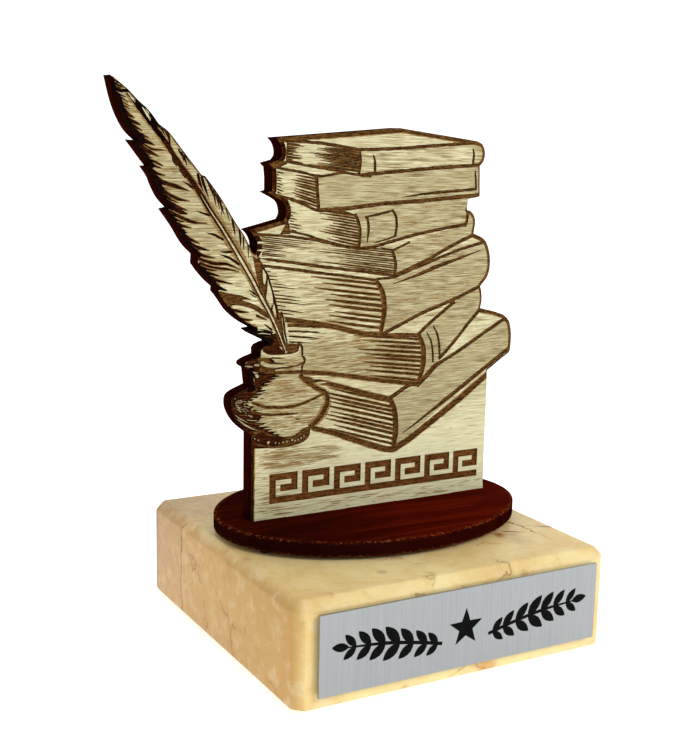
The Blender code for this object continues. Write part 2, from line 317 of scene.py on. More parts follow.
def brushed_metal(name):
    """Silver with upright brush lines."""
    s = Shader(name, roughness=0.36, metallic=1.0)
    lines = s.noise((7.0, 1.0, 0.05), detail=4.0, roughness=0.7)
    bands = s.noise((0.5, 0.5, 0.02), detail=3.0, shift=(4.0, 0.0, 2.0))
    colour = s.mix(s.step(lines, 0.30, 0.72), srgb(153, 156, 158), srgb(170, 173, 175))
    colour = s.mix(s.step(bands, 0.35, 0.7, 0.0, 0.35), colour, srgb(165, 168, 170))
    roughness = s.step(lines, 0.3, 0.75, 0.40, 0.50)
    return s.finish(colour, roughness, lines, bump_mm=0.005, strength=0.4)


def black_ink(name):
    s = Shader(name, roughness=0.6, specular=0.02)
    grain = s.noise(3.0, detail=3.0)
    colour = s.mix(s.step(grain, 0.3, 0.8), srgb(8, 8, 9), srgb(22, 22, 23))
    return s.finish(colour, height=grain, bump_mm=0.01)


def felt(name):
    s = Shader(name, roughness=0.95, specular=0.1)
    fibres = s.noise(1.6, detail=6.0, roughness=0.75, distortion=1.5)
    clumps = s.noise(0.35, detail=3.0)
    colour = s.mix(s.step(fibres, 0.35, 0.70), srgb(22, 30, 26), srgb(58, 70, 62))
    colour = s.mix(s.step(clumps, 0.4, 0.7, 0.0, 0.4), colour, srgb(30, 38, 34))
    return s.finish(colour, height=fibres, bump_mm=0.25)


def adhesive(name, dark, light):
    s = Shader(name, roughness=0.65, specular=0.3)
    foam = s.noise(2.2, detail=4.0, roughness=0.7)
    return s.finish(s.mix(s.step(foam, 0.35, 0.7), dark, light), height=foam, bump_mm=0.04)


# ---------------------------------------------------------------- drawing in the plane, millimetres


def paired(values):
    """Points from a list that alternates across and up. A list of points stays as it is."""
    if isinstance(values[0], (int, float)):
        values = zip(values[::2], values[1::2])
    return [Vector(value) for value in values]


def smooth(points, spacing=0.7):
    """Points about spacing apart along a smooth curve through the given ones."""
    knots = paired(points)
    curved = len(knots) > 2
    if curved:
        knots = [2.0 * knots[0] - knots[1]] + knots + [2.0 * knots[-1] - knots[-2]]
    else:
        knots = [knots[0], knots[0], knots[1], knots[1]]
    run = []
    for before, start, end, after in zip(knots, knots[1:], knots[2:], knots[3:]):
        steps = max(2, round((end - start).length / spacing))
        for step in range(steps):
            t = step / steps
            if curved:
                place = 0.5 * (
                    2.0 * start + (end - before) * t
                    + (2.0 * before - 5.0 * start + 4.0 * end - after) * t ** 2
                    + (3.0 * start - before - 3.0 * end + after) * t ** 3
                )
            else:
                place = start.lerp(end, t)
            run.append(place)
    run.append(knots[-2].copy())
    return run


class Drawing:
    """Marks on a flat sheet, painted in order: the last mark over a spot decides how it is finished.

    Points may be given as one flat list that alternates across and up.
    """

    def __init__(self, seed, rim=()):
        self.marks = []
        self.rim = list(rim)
        self.chance = random.Random(seed)

    def fill(self, points, tone, spacing=0.7):
        """A closed shape. With a spacing of None its corners are kept as given."""
        ring = paired(points)
        if spacing is not None:
            ring = smooth([*ring, ring[0]], spacing)[:-1]
        self.marks.append((tone, ring))

    def line(self, points, width, taper=(1.0, 1.0), tone=BROWN, rough=0.05, halo=0.0):
        """A stroke along a smooth curve. taper is the share of the width left at its start and end."""
        at_start, at_end = taper if isinstance(taper, tuple) else (taper, taper)
        centre = smooth(points)
        last = len(centre) - 1
        widened, cut = [[], []], [[], []]
        for index, place in enumerate(centre):
            ahead = centre[min(index + 1, last)] - centre[max(index - 1, 0)]
            side = Vector((-ahead.y, ahead.x)).normalized()
            t = index / last
            opening = at_start + (1.0 - at_start) * t * 2.5
            closing = at_end + (1.0 - at_end) * (1.0 - t) * 2.5
            swell = min(1.0, opening, closing)
            half = max(0.03, width / 2.0 * swell)
            wobble = min(rough, half * 0.35)
            for one_cut, one_widened, outward in zip(cut, widened, (side, -side)):
                one_cut.append(place + outward * (half + self.chance.uniform(-wobble, wobble)))
                one_widened.append(place + outward * (half + halo * self.chance.uniform(0.6, 1.4)))
        if halo:
            self.marks.append((SCORCH, widened[0] + widened[1][::-1]))
        self.marks.append((tone, cut[0] + cut[1][::-1]))

    def edge(self, start, end, width, tone=BROWN, halo=0.0):
        """A band of the given width along the sheet's rim, between the corners nearest to two points.

        It takes the shorter way round, and returns the rim's corners along it.
        """
        def nearest(point):
            return min(range(len(self.rim)), key=lambda index: (self.rim[index] - Vector(point)).length)
        first, last, count = nearest(start), nearest(end), len(self.rim)
        forward, backward = (last - first) % count, (first - last) % count
        if forward <= backward:
            run = [self.rim[(first + step) % count] for step in range(forward + 1)]
        else:
            run = [self.rim[(first - step) % count] for step in range(backward + 1)]
        self.line(run, 2.0 * width, (1.0, 1.0), tone, 0.06, halo)
        for corner in (run[0], run[-1]):
            self.dot(corner, width, tone)
        return run

    def dot(self, centre, radius, tone):
        turns = [math.radians(45.0 * step) for step in range(8)]
        self.marks.append((tone, [centre + Vector((math.cos(t), math.sin(t))) * radius for t in turns]))

    def bar(self, start, end, width, tone=BROWN):
        """A straight bar with square ends that run half a width past its end points."""
        start, end = Vector(start), Vector(end)
        along = (end - start).normalized() * width / 2.0
        side = Vector((-along.y, along.x))
        start, end = start - along, end + along
        self.fill([start - side, end - side, end + side, start + side], tone, None)

    def pages(self, patch, count, side, reach, width, bulge=0.0, drift=0.0):
        """Hatching that runs in from one side of a page block, as a fan between its upper and lower edges.

        patch holds the block's top-left, top-right, bottom-right and bottom-left corners, and reach the
        least and greatest share of its length that a line crosses. drift makes lower lines longer.
        """
        top_left, top_right, bottom_right, bottom_left = paired(patch)
        for row in range(count):
            t = (row + 0.5 + self.chance.uniform(-0.12, 0.12)) / count
            left = top_left.lerp(bottom_left, t)
            right = top_right.lerp(bottom_right, t) + Vector((bulge * 4.0 * t * (1.0 - t), 0.0))
            share = self.chance.uniform(*reach) * (1.0 + drift * (t - 0.5))
            start, end = (left, right) if side == "left" else (right, left)
            tip = start.lerp(end, min(share, 1.0))
            middle = start.lerp(tip, 0.5) + Vector((0.0, self.chance.uniform(-0.06, 0.06)))
            heavy = width * self.chance.uniform(0.8, 1.15)
            self.line([start, middle, tip], heavy, (1, 0.15), BROWN, 0.04, 0.2 * width)

    def grain(self, area, count, lengths, width, tone=BROWN):
        """Short level streaks scattered over an area, which is given as left, low, right and high."""
        left, low, right, high = area
        for _ in range(count):
            across, up = self.chance.uniform(left, right), self.chance.uniform(low, high)
            length, fall = self.chance.uniform(*lengths), self.chance.uniform(-0.05, 0.03)
            run = [across, up, across + length * 0.5, up + fall * 0.4, across + length, up + fall]
            self.line(run, width * self.chance.uniform(0.7, 1.3), 0.2, tone, 0.03)

    def teeth(self, edge, rows, tone):
        """A filled shade whose far side is a comb of level spikes. rows holds (height, tip, valley)."""
        ring = paired(edge)
        for height, tip, valley in rows:
            between = 0.4 * valley + 0.6 * tip
            spike = [(valley, 0.24), (between, 0.16), (tip, 0), (between, -0.18)]
            ring += [Vector((across, height + up)) for across, up in spike]
        self.marks.append((tone, ring))


# ---------------------------------------------------------------- the engraving


def draw_spine_shading(d):
    """The books' spines and boards, which are engraved with a denser tone than the page blocks."""
    spines = [
        [-5.4, 73.3, 2, 73.7, 12, 74.4, 22.6, 75.1, 24.4, 73, 23.3, 70.6, -5.3, 68.6],
        [-14.9, 68.2, -9.5, 68.9, -2, 68.6, 23.9, 70.5, 23.9, 64.4, -4, 62.6, -14.2, 61.9],
        [-6, 61, -4, 62.6, 21, 64.2, 21, 58.4, 8, 56.4, -5, 54],
        [3, 53.8, 7, 55, 20.4, 58.4, 21.4, 61, 22.8, 59, 22.6, 56.2, 3.6, 48.2],
        [0, 47.6, 3.8, 48, 25.4, 54.6, 27.2, 50, 25.2, 45.2, 1.1, 36.3, 1.4, 41],
        [9.8, 35.6, 18.6, 42.2, 25.2, 45.1, 25.2, 40.1, 15.2, 30.2, 9.9, 25, 11.4, 30.5],
        [3.6, 22.4, 9.8, 25.2, 15.8, 29.5, 31.8, 38, 33.6, 34, 33.6, 31.6, 4.5, 11.8, 5, 17],
    ]
    for spine in spines:
        d.fill(spine, SHADE, None)
    d.grain((-5, 69.4, 20, 74.6), 90, (2, 6), 0.4, BARE)
    d.fill([-20, 36, 9, 34.2, 9.4, 26, -17, 30], SHADE, None)
    d.grain((-27, 10.6, -12, 14.2), 60, (2, 7), 0.4, SHADE)
    d.grain((3, 38, 24, 63), 190, (1, 4), 0.15, SCORCH)
    d.grain((-25, 49.6, 0, 56), 70, (2, 6), 0.35, SHADE)
    d.grain((-19, 39.6, -2, 48), 90, (2, 7), 0.35, SHADE)


def draw_book_1(d):
    d.edge((-23.4, 75.4), (4, 77.7), 0.85, halo=0.2)
    d.edge((4, 77.7), (22.8, 75.5), 0.8, halo=0.2)
    d.edge((-21.9, 71.2), (-23.4, 75.4), 0.75, DARK, halo=0.08)
    d.edge((22.8, 75.5), (23.8, 70.4), 0.78, halo=0.15)
    d.line([-23, 75.1, -14, 74.6, -8, 73.8, -5, 73.5, 2, 73.7, 12, 74.4, 22.8, 75.2], 0.68)
    d.line([-21.8, 71, -14, 69.9, -9, 69.1, -5.3, 68.5, -2.5, 68.3], 0.6, (0.6, 1))
    d.line([-5, 68.5, 2, 69.1, 12, 69.9, 23.4, 70.6], 0.75)
    d.line([-5.4, 73.2, -5.1, 71.4, -5.4, 68.8], 0.72)
    d.line([-2.2, 72.5, -1.8, 71.2, -1.7, 68.7], 0.62, (0.4, 1))
    d.line([21.7, 74, 22, 72.6, 21.8, 70.7], 0.62, (0.4, 1))
    patch = (-21.4, 74.7, -5.5, 73.2, -5.4, 69, -21.5, 71.1)
    d.pages(patch, 12, "left", (0.08, 0.26), 0.26)
    d.pages(patch, 14, "right", (0.38, 0.70), 0.29)


def draw_book_2(d):
    d.edge((-21.9, 71.2), (-24.9, 70.6), 0.7)
    d.edge((-24.9, 70.6), (-24.2, 65.4), 0.75, DARK, halo=0.08)
    d.edge((-24.2, 65.4), (-25.1, 65), 0.45)
    d.edge((23.9, 70.4), (24.1, 64.1), 0.6)
    d.fill([-24.8, 70.5, -22, 71.2, -21.2, 70.6, -23.6, 69.6], BROWN, None)
    d.line([-23.4, 69.9, -18, 69, -14.6, 68.3, -11.5, 68.6, -9, 69], 0.55)
    d.line([-24.6, 65.1, -20, 63.8, -17, 62.7, -15, 61.8, -13, 61.6], 0.68, (0.5, 1))
    d.line([-14, 61.7, -8, 62, 0, 62.8, 10, 63.4, 23.8, 64.4], 0.85)
    d.line([-14.9, 68.3, -14.6, 65.2, -14.3, 61.9], 0.75)
    d.line([22.5, 69.5, 22.7, 67.4, 22.9, 65.6], 0.56, (0.5, 1))
    d.line([23, 65.7, 18, 65.3, 11, 64.8, 4.8, 64.1], 0.62, (1, 0.2))
    patch = (-23.4, 69.4, -15, 68.1, -14.7, 62.2, -23.3, 65.1)
    d.pages(patch, 8, "left", (0.05, 0.20), 0.22)
    d.pages(patch, 10, "right", (0.46, 0.66), 0.36)


def draw_book_3(d):
    d.edge((-22.6, 63.8), (-21.6, 59.7), 0.85, DARK, halo=0.08)
    d.edge((-25.1, 65), (-22.6, 63.8), 0.4)
    d.line([-21.4, 60.4, -21, 59, -20.8, 57.7], 0.6, (1, 0.7))
    d.line([-20.8, 57.8, -17, 57, -14, 56, -10, 55, -5, 53.9], 0.6, (0.6, 1))
    d.line([-5.2, 54, -2, 54.2, 2, 55.1, 8, 56.4, 15, 57.6, 20.4, 58.3], 0.72)
    d.line([-13, 61.6, -9, 61.3, -6, 60.7], 0.55, (1, 0.5))
    d.line([-6.1, 61, -5.2, 59.2, -4.8, 57, -5, 54.4], 0.66)
    d.line([-3.8, 60.2, 0, 60.9, 2.8, 61.5], 0.52)
    d.line([2.6, 61.5, 3.5, 60.1, 3.7, 58.4, 3.4, 56.2], 0.62)
    d.line([3.5, 56.3, 1, 55.6, -1.9, 55], 0.42, (1, 0.2))
    d.line([-3.3, 60.3, -2.9, 58.2, -3.1, 55.1], 0.62, (1, 0.3))
    d.edge((21, 63.6), (21, 61.3), 0.3)
    d.line([20.9, 61, 20.9, 59.4, 20.4, 57.9], 0.75, (0.8, 1))
    patch = (-20.8, 62.8, -6.2, 60.9, -5.2, 54.4, -20.4, 57.8)
    d.pages(patch, 9, "left", (0.05, 0.16), 0.22, drift=1)
    d.pages(patch, 11, "right", (0.38, 0.62), 0.36, bulge=0.6)


def draw_book_4(d):
    d.edge((-29.1, 58), (-21.6, 59.7), 0.75, halo=0.12)
    d.edge((-28, 53.2), (-29.1, 58), 0.85, DARK, halo=0.08)
    d.line([-28.2, 57.3, -22, 56.9, -16, 56.1, -12, 55.3, -7, 54.2], 0.58)
    d.fill([-22.6, 57.2, -21.4, 59.3, -20.6, 59.3, -20.4, 57.2], BROWN, None)
    d.line([0, 54.1, 2.8, 53.5, 4.2, 53.9, 7, 55], 0.5, (0.4, 1))
    d.line([2.6, 53.6, 3.4, 52, 3.7, 50.2, 3.5, 48.3], 0.72)
    d.line([-27.4, 52.7, -20, 51.7, -15, 50.9, -8, 49.9, 0, 48.8, 3.6, 48.2], 0.66)
    d.line([3.4, 48.2, 8, 49.9, 12, 51.5, 16, 53.4, 20, 55.1, 22.8, 56.1], 0.78)
    d.edge((21, 61.3), (22.9, 56.4), 0.72, halo=0.12)
    patch = (-26.6, 57, 2.8, 53.6, 3.3, 48.6, -26.4, 52.9)
    d.pages(patch, 11, "left", (0.06, 0.28), 0.22, drift=-1)
    d.pages(patch, 11, "right", (0.38, 0.66), 0.26, bulge=0.5)


def draw_book_5(d):
    d.line([-26.4, 51.3, -20, 50.4, -15, 49.6, -8, 48.6, -0.4, 47.4], 0.62)
    d.line([3.6, 47.9, 10, 50.1, 15, 51.8, 20, 53.3, 25.4, 54.5], 0.66, (0.7, 1))
    d.line([3.1, 46.5, 8.6, 48, 13, 49.5, 18, 50.9, 24.6, 52.8], 0.85, 0.15)
    d.line([-0.8, 47.7, 3.6, 47.9], 0.55)
    d.line([-0.7, 47.3, 0.6, 45.2, 1.2, 42.8, 1.2, 40.2, 0.6, 36.6], 1.05, 0.7, halo=0.2)
    d.line([-0.1, 46.9, 1.2, 44.8, 1.6, 42, 1.4, 39.4, 0.9, 36.8], 0.38)
    d.line([-21.4, 40.5, -15, 39.5, -10, 38.4, -4, 36.8, 1.2, 36.1], 0.9, (0.8, 1), halo=0.2)
    d.line([-20.8, 39.4, -15, 38.9, -9, 38.3], 0.75, (1, 0.2))
    d.line([1, 36.3, 5, 37.9, 10, 40, 15, 41.6, 20, 43.3, 25.2, 45.3], 0.78)
    d.edge((22.9, 56.4), (25.2, 45.1), 0.85, halo=0.15)
    patch = (-24.6, 50.6, -1, 47.4, 0.6, 37, -20.6, 40.8)
    d.pages((-26.4, 50.6, -1, 47.4, 0.6, 37, -22.6, 40.8), 13, "left", (0.06, 0.28), 0.24, drift=0.6)
    d.pages(patch, 9, "right", (0.48, 0.68), 0.52, bulge=0.9)
    d.grain((-20, 41, -4, 48), 40, (1, 3.5), 0.14, SCORCH)


def draw_book_6(d):
    d.line([1, 36, 5, 35.9, 9.8, 35.5], 0.85)
    d.line([9.6, 35.6, 11.5, 37.2, 14.5, 39.4, 18.6, 42.2], 0.78)
    d.line([9.9, 35.4, 10.9, 33.4, 11.2, 31, 11, 28.4, 9.9, 25], 1.1, 0.7, halo=0.2)
    d.line([10.4, 35, 11.4, 33, 11.6, 30.4, 11.2, 27.6], 0.38)
    d.line([11.8, 36, 12.8, 34.4, 13.4, 32.2, 13.6, 29.5], 0.5, (0.5, 1))
    d.line([13.4, 37.3, 14.4, 35.6, 15, 33.4, 15.3, 30.3], 0.55, (0.5, 1))
    d.line([15, 30.1, 17, 31.9, 20, 34.9, 22.2, 37.3, 25, 40], 0.8)
    d.line([-17.2, 29.7, -12, 29.1, -7, 28.2, -2, 27.2, 4, 26.1, 9.9, 25.1], 0.78, halo=0.2)
    d.line([9.8, 24.6, 12, 26.7, 14.2, 28.7, 15.8, 29.5], 1.2, (0.6, 0.7))
    d.edge((25.2, 45.1), (25.4, 40.3), 0.65, halo=0.12)
    d.line([-20.6, 38.2, -16, 37.8, -12.1, 37.2], 0.4, (1, 0.2))
    d.line([-20.4, 37.2, -17, 36.8, -13.2, 36.2], 0.38, (1, 0.2))
    d.line([-20.4, 36.1, -18, 35.8, -15.6, 35.5], 0.34, (1, 0.2))
    patch = (-20, 38.4, 9.6, 35.2, 9.8, 25.6, -17.2, 30)
    d.pages(patch, 10, "right", (0.36, 0.56), 0.5, bulge=1)
    d.grain((-17.5, 30, -1, 37), 90, (1.5, 4.5), 0.2, SCORCH)


def draw_book_7(d):
    d.line([-17.4, 28.6, -12, 27.1, -7, 25.6, -2, 24, 3.4, 22.4], 0.85, halo=0.2)
    d.line([3, 22.6, 5.5, 23.9, 8, 25.1, 10.2, 25.2], 0.95)
    d.line([14, 28.6, 17, 30.1, 20, 31.5, 26, 34.8, 31.9, 37.9], 0.82)
    d.edge((25.4, 40.3), (31.6, 38.7), 0.78, halo=0.15)
    d.edge((31.6, 38.7), (33.9, 31.4), 0.9, halo=0.15)
    d.edge((33.9, 31.4), (27.9, 26.6), 0.55)
    d.line([3.4, 22.3, 4.3, 20.4, 4.7, 18, 4.8, 15, 4.4, 11.6], 1.15, 0.8, halo=0.2)
    d.line([3.9, 22, 4.8, 20, 5.2, 17.6, 5.2, 14.2], 0.38)
    d.line([-14.9, 18.1, -10, 16.6, -5, 14.6, 0, 12.7, 3.6, 11.6, 5.4, 11.8], 1.1, (0.7, 1), halo=0.2)
    d.line([4.6, 11.7, 8, 13.3, 15, 17.5, 20, 20.6, 28, 26, 33.4, 29.9], 1.25, (1, 0.7), halo=0.2)
    d.line([6.6, 14.9, 10, 16.8, 15, 19.9, 20, 22.9, 26, 26.7, 33.8, 31.6], 0.95, (0.2, 1))
    patch = (-16.2, 27.8, 3.5, 22.3, 4.2, 12.3, -14.2, 18.2)
    d.pages(patch, 10, "right", (0.74, 0.97), 0.5, bulge=0.8)


def draw_panel(d):
    d.edge((-28.3, 17.6), (-28.3, 0.6), 0.5, DARK, halo=0.2)
    d.edge((27.9, 26.6), (28, 0.6), 0.16)
    d.grain((-27, 10.6, -12, 14.8), 60, (1, 5), 0.16, SCORCH)
    d.grain((-27.8, 1, -23, 14), 60, (1, 4.5), 0.17, SCORCH)
    d.grain((-27, 0.6, 26, 2.6), 60, (1, 4), 0.14, SCORCH)
    d.grain((8, 11, 26, 24), 20, (1, 4), 0.12, SCORCH)


def draw_inkwell(d):
    belly = [
        -17.3, 29.7, -16.8, 28.4, -15.2, 26.9, -12.2, 25.4, -11.2, 24, -11.7, 22, -13.2, 19.8, -15, 18.3,
        -15.8, 16.8, -17.2, 15.2, -21, 14.7, -25, 15, -28, 16.4, -31, 20, -33.5, 24, -31.5, 27.5,
        -28.6, 29.5, -30.4, 32, -26.6, 34.4, -26, 35.4, -22, 35.9, -18, 35.4, -17.2, 34, -17, 32.4,
        -17.2, 31,
    ]
    d.fill(belly, SHADE)
    d.grain((-25, 18, -14, 28.4), 60, (1.5, 4), 0.35, BARE)

    # outline on the right, and the rim of the mouth
    d.line([-18.6, 35.6, -17.7, 35.2, -17.4, 34.2, -17.4, 33, -16.85, 32.4, -17, 31.7, -17.4, 31.1,
            -17.4, 29.6], 0.5)
    d.line([-17.8, 29.4, -17.2, 28.5, -15.8, 27.4, -14.2, 26.3, -12, 25.2], 0.85, halo=0.25)
    d.line([-12.1, 25.3, -11.6, 24.2, -11.6, 23, -12.1, 21.8, -13, 20.5, -14.1, 19.4, -15.6, 18.3], 1.05,
            (0.8, 0.9), halo=0.45)

    # the shaded left side, with a comb of spikes along its edge
    shoulder = [
        -29.4, 24.4, -34, 22, -34, 27.5, -29.6, 28.6, -31, 31.4, -28.4, 33.4, -26.9, 33.6, -26.4, 31.6,
        -24.8, 30.6,
    ]
    upper_rows = [
        (30.1, -21.6, -23.4), (29.4, -22.2, -23.4), (28.9, -23, -24.2), (28.4, -24, -24.8),
        (27.8, -24.6, -25.8), (27.2, -26, -26.6), (26.7, -25.2, -26.6), (26.1, -25.7, -27.6),
        (25.6, -26.8, -28.4), (25.1, -27.8, -28.9),
    ]
    d.teeth(shoulder, upper_rows, DARK)
    base = [-21.5, 17, -24, 14.9, -28.4, 15.2, -31, 17, -34, 20, -34.4, 25, -31.8, 25.2, -29.2, 24.4]
    lower_rows = [
        (23.7, -27.6, -28.9), (22.9, -27.2, -28.6), (22.1, -25.6, -28.2), (21.3, -25.2, -28.6),
        (20.7, -26.4, -28.4), (20.1, -24.8, -27.8), (19.3, -24, -27), (18.7, -23.6, -26),
        (18.1, -22.6, -25), (17.5, -22, -23.6),
    ]
    d.teeth(base, lower_rows, DARK)
    d.grain((-31.6, 24.6, -25.6, 33), 40, (0.4, 1.2), 0.24)
    d.grain((-32.4, 19, -26.2, 24.4), 40, (0.4, 1.2), 0.24)
    d.fill([-29.2, 26.6, -29, 29, -28.8, 31.4, -27.6, 31, -28, 28.6, -27.4, 27], SOOT_AND_SHADOW)
    d.fill([-33.6, 21, -30.6, 19, -28.2, 17.6, -25, 17.4, -26.4, 18.8, -29.4, 20, -32.4, 22.6], DARK)
    d.fill([-29.6, 21.4, -28.2, 22.2, -26.2, 21.8, -27, 20.6, -28.6, 20.4], DARK)

    # lines around the belly
    d.line([-28.4, 24.5, -27, 24, -25.5, 23.4, -23, 23.1, -20.5, 22.95, -18.5, 23.1, -16.5, 23.6, -14, 24.4,
            -12, 25.1], 0.55, (1, 0.6), halo=0.15)
    d.line([-28.2, 22.7, -26.5, 22.1, -25, 21.8, -22, 21.6, -20, 21.5, -18, 21.5], 0.46, (1, 0.2), halo=0.1)
    d.line([-18.8, 20.4, -17.4, 20.2], 0.28, (0.4, 0.3))
    d.grain((-26, 24.4, -15, 28.6), 80, (0.8, 3.6), 0.15, SCORCH)
    d.grain((-25.4, 18, -14.5, 22.6), 80, (0.8, 3.6), 0.15, SCORCH)

    # flecks and arcs of light in the shade
    for _ in range(46):
        along, down = d.chance.random(), d.chance.random()
        across = -32.6 + 3.6 * along + 0.9 * down
        up = 26.2 - 1.3 * along - 3.4 * down
        length = d.chance.uniform(0.25, 0.75)
        fleck = [across, up, across + length, up - 0.35 * length]
        d.line(fleck, d.chance.uniform(0.1, 0.18), 0.4, SHADE)
    d.line([-31.9, 22.4, -30.8, 21.5, -29.2, 20.6], 0.16, 0.3, SHADE)
    d.line([-31.4, 21.5, -29.8, 20.2, -28.4, 19.35, -27, 18.8], 0.24, 0.3, SHADE)
    d.line([-29.4, 21.2, -28.2, 20.9, -27, 20.8], 0.16, 0.3, SHADE)

    # the base ring and its beads
    ring = [
        -28.3, 17.2, -27.6, 18.6, -26, 18.7, -24.6, 17.9, -22.8, 17.1, -20.5, 16.9, -18.8, 17.1,
        -17.6, 17.9, -16.2, 18.5, -15.5, 18.3, -15.4, 17.2, -15.8, 16.2, -16.8, 15.5, -18.5, 15, -21, 14.7,
        -23.6, 14.9, -25.6, 15.3, -27.3, 15.9,
    ]
    d.fill(ring, BROWN)
    d.fill([-28.2, 17.2, -26.4, 18.3, -24.2, 17.3, -21.4, 16.7, -22, 15.2, -25, 15.5, -27.4, 16.2], DARK)
    for across, up, size in (
        (-27.7, 17.2, 0.26), (-26.9, 16.8, 0.3), (-24.7, 16.1, 0.5), (-23.1, 15.9, 0.36),
        (-22.3, 15.7, 0.2), (-21.5, 15.8, 0.26), (-20.6, 15.9, 0.3), (-19.4, 16.1, 0.36),
        (-18.8, 15.85, 0.26), (-18.1, 16, 0.34), (-17.4, 16.3, 0.3), (-16.8, 16.6, 0.2),
    ):
        tilt = d.chance.uniform(-0.1, 0.25)
        d.line([across - tilt, up - size * 0.5, across + tilt, up + size * 0.5], size, 0.6, SHADE)

    # the collar: bands in shade on the left, pale on the right
    d.line([-24.8, 30.25, -22, 30.05, -18.5, 29.9, -17.3, 29.8], 0.62, halo=0.12)
    d.fill([-27, 33.6, -26, 33.3, -24.4, 33.2, -23.2, 33.2, -24, 32.9, -23.6, 32.3, -22.4, 31.9, -24, 31.8,
            -25.4, 32.2, -26.2, 32.7, -26.9, 32.2], BROWN)
    d.fill([-24.6, 32.9, -23.8, 32.7, -23.4, 32.3, -24.2, 32.2], DARK)
    d.line([-24, 33.15, -22.6, 32.95, -21.2, 32.95], 0.26, (1, 0.2))
    d.line([-23.8, 32, -22, 31.85, -20.4, 31.95], 0.24, (1, 0.2))
    d.line([-26.8, 32.1, -25.8, 31.3, -24.2, 30.95, -21, 30.95, -18.6, 31.2, -17.2, 31.7], 0.4, (1, 0.7))
    d.fill([-26.4, 31.4, -24.6, 30.9, -23.2, 30.8, -23.9, 30.3, -25, 30.1, -26.6, 30.4], BROWN)
    d.line([-20.6, 32.3, -18.8, 32.2, -17.4, 32.6], 0.2, (0.3, 0.6), SCORCH)
    d.line([-21.8, 31.45, -19.4, 31.5, -17.6, 31.9], 0.2, (0.3, 0.6), SCORCH)
    d.line([-29.9, 31.9, -29, 31.8, -28.2, 31.6], 0.26, 0.4, SHADE)
    d.line([-27.9, 31.95, -27.3, 31.95, -26.8, 31.8], 0.5, 0.5, SHADE)
    d.line([-28.1, 30.7, -27.8, 30.4, -27, 30.4], 0.22, 0.4, SHADE)
    d.line([-27.6, 30.1, -27.3, 29.8, -27.1, 29.4], 0.6, 0.6, SHADE)
    d.line([-28, 29.4, -27.8, 28.6], 0.14, 0.4, SHADE)
    d.grain((-25, 30.2, -18, 33.2), 34, (0.8, 2.6), 0.16, SCORCH)

    # the mouth, darker on the left, behind a thin pale rim
    d.fill([-26.2, 34.7, -25.6, 35.4, -23, 35.7, -19.4, 35.7, -18.1, 35.1, -18.2, 34.2, -19.4, 33.7,
            -22, 33.6, -24.8, 33.8], BROWN)
    d.fill([-26.1, 34.6, -25, 35.3, -23, 35.5, -21.9, 35, -21.2, 34.2, -22, 33.7, -24.8, 33.9], DARK)
    d.line([-26.35, 34.9, -26.1, 34.1, -24.8, 33.6, -22.5, 33.4, -20.5, 33.4, -19, 33.6, -18.1, 34.1,
            -17.95, 34.9], 0.34, 0.8, BARE)


SHAFT = [
    -21, 34.1, -22.5, 37.6, -23.9, 40.6, -25.3, 43.2, -27.1, 46.3, -28.8, 49.3, -30.4, 51.9, -32.3, 54.9,
    -34.6, 58.4, -37, 61.8, -39, 64.9, -41, 67.7, -43.4, 70.8, -46, 74.6,
]


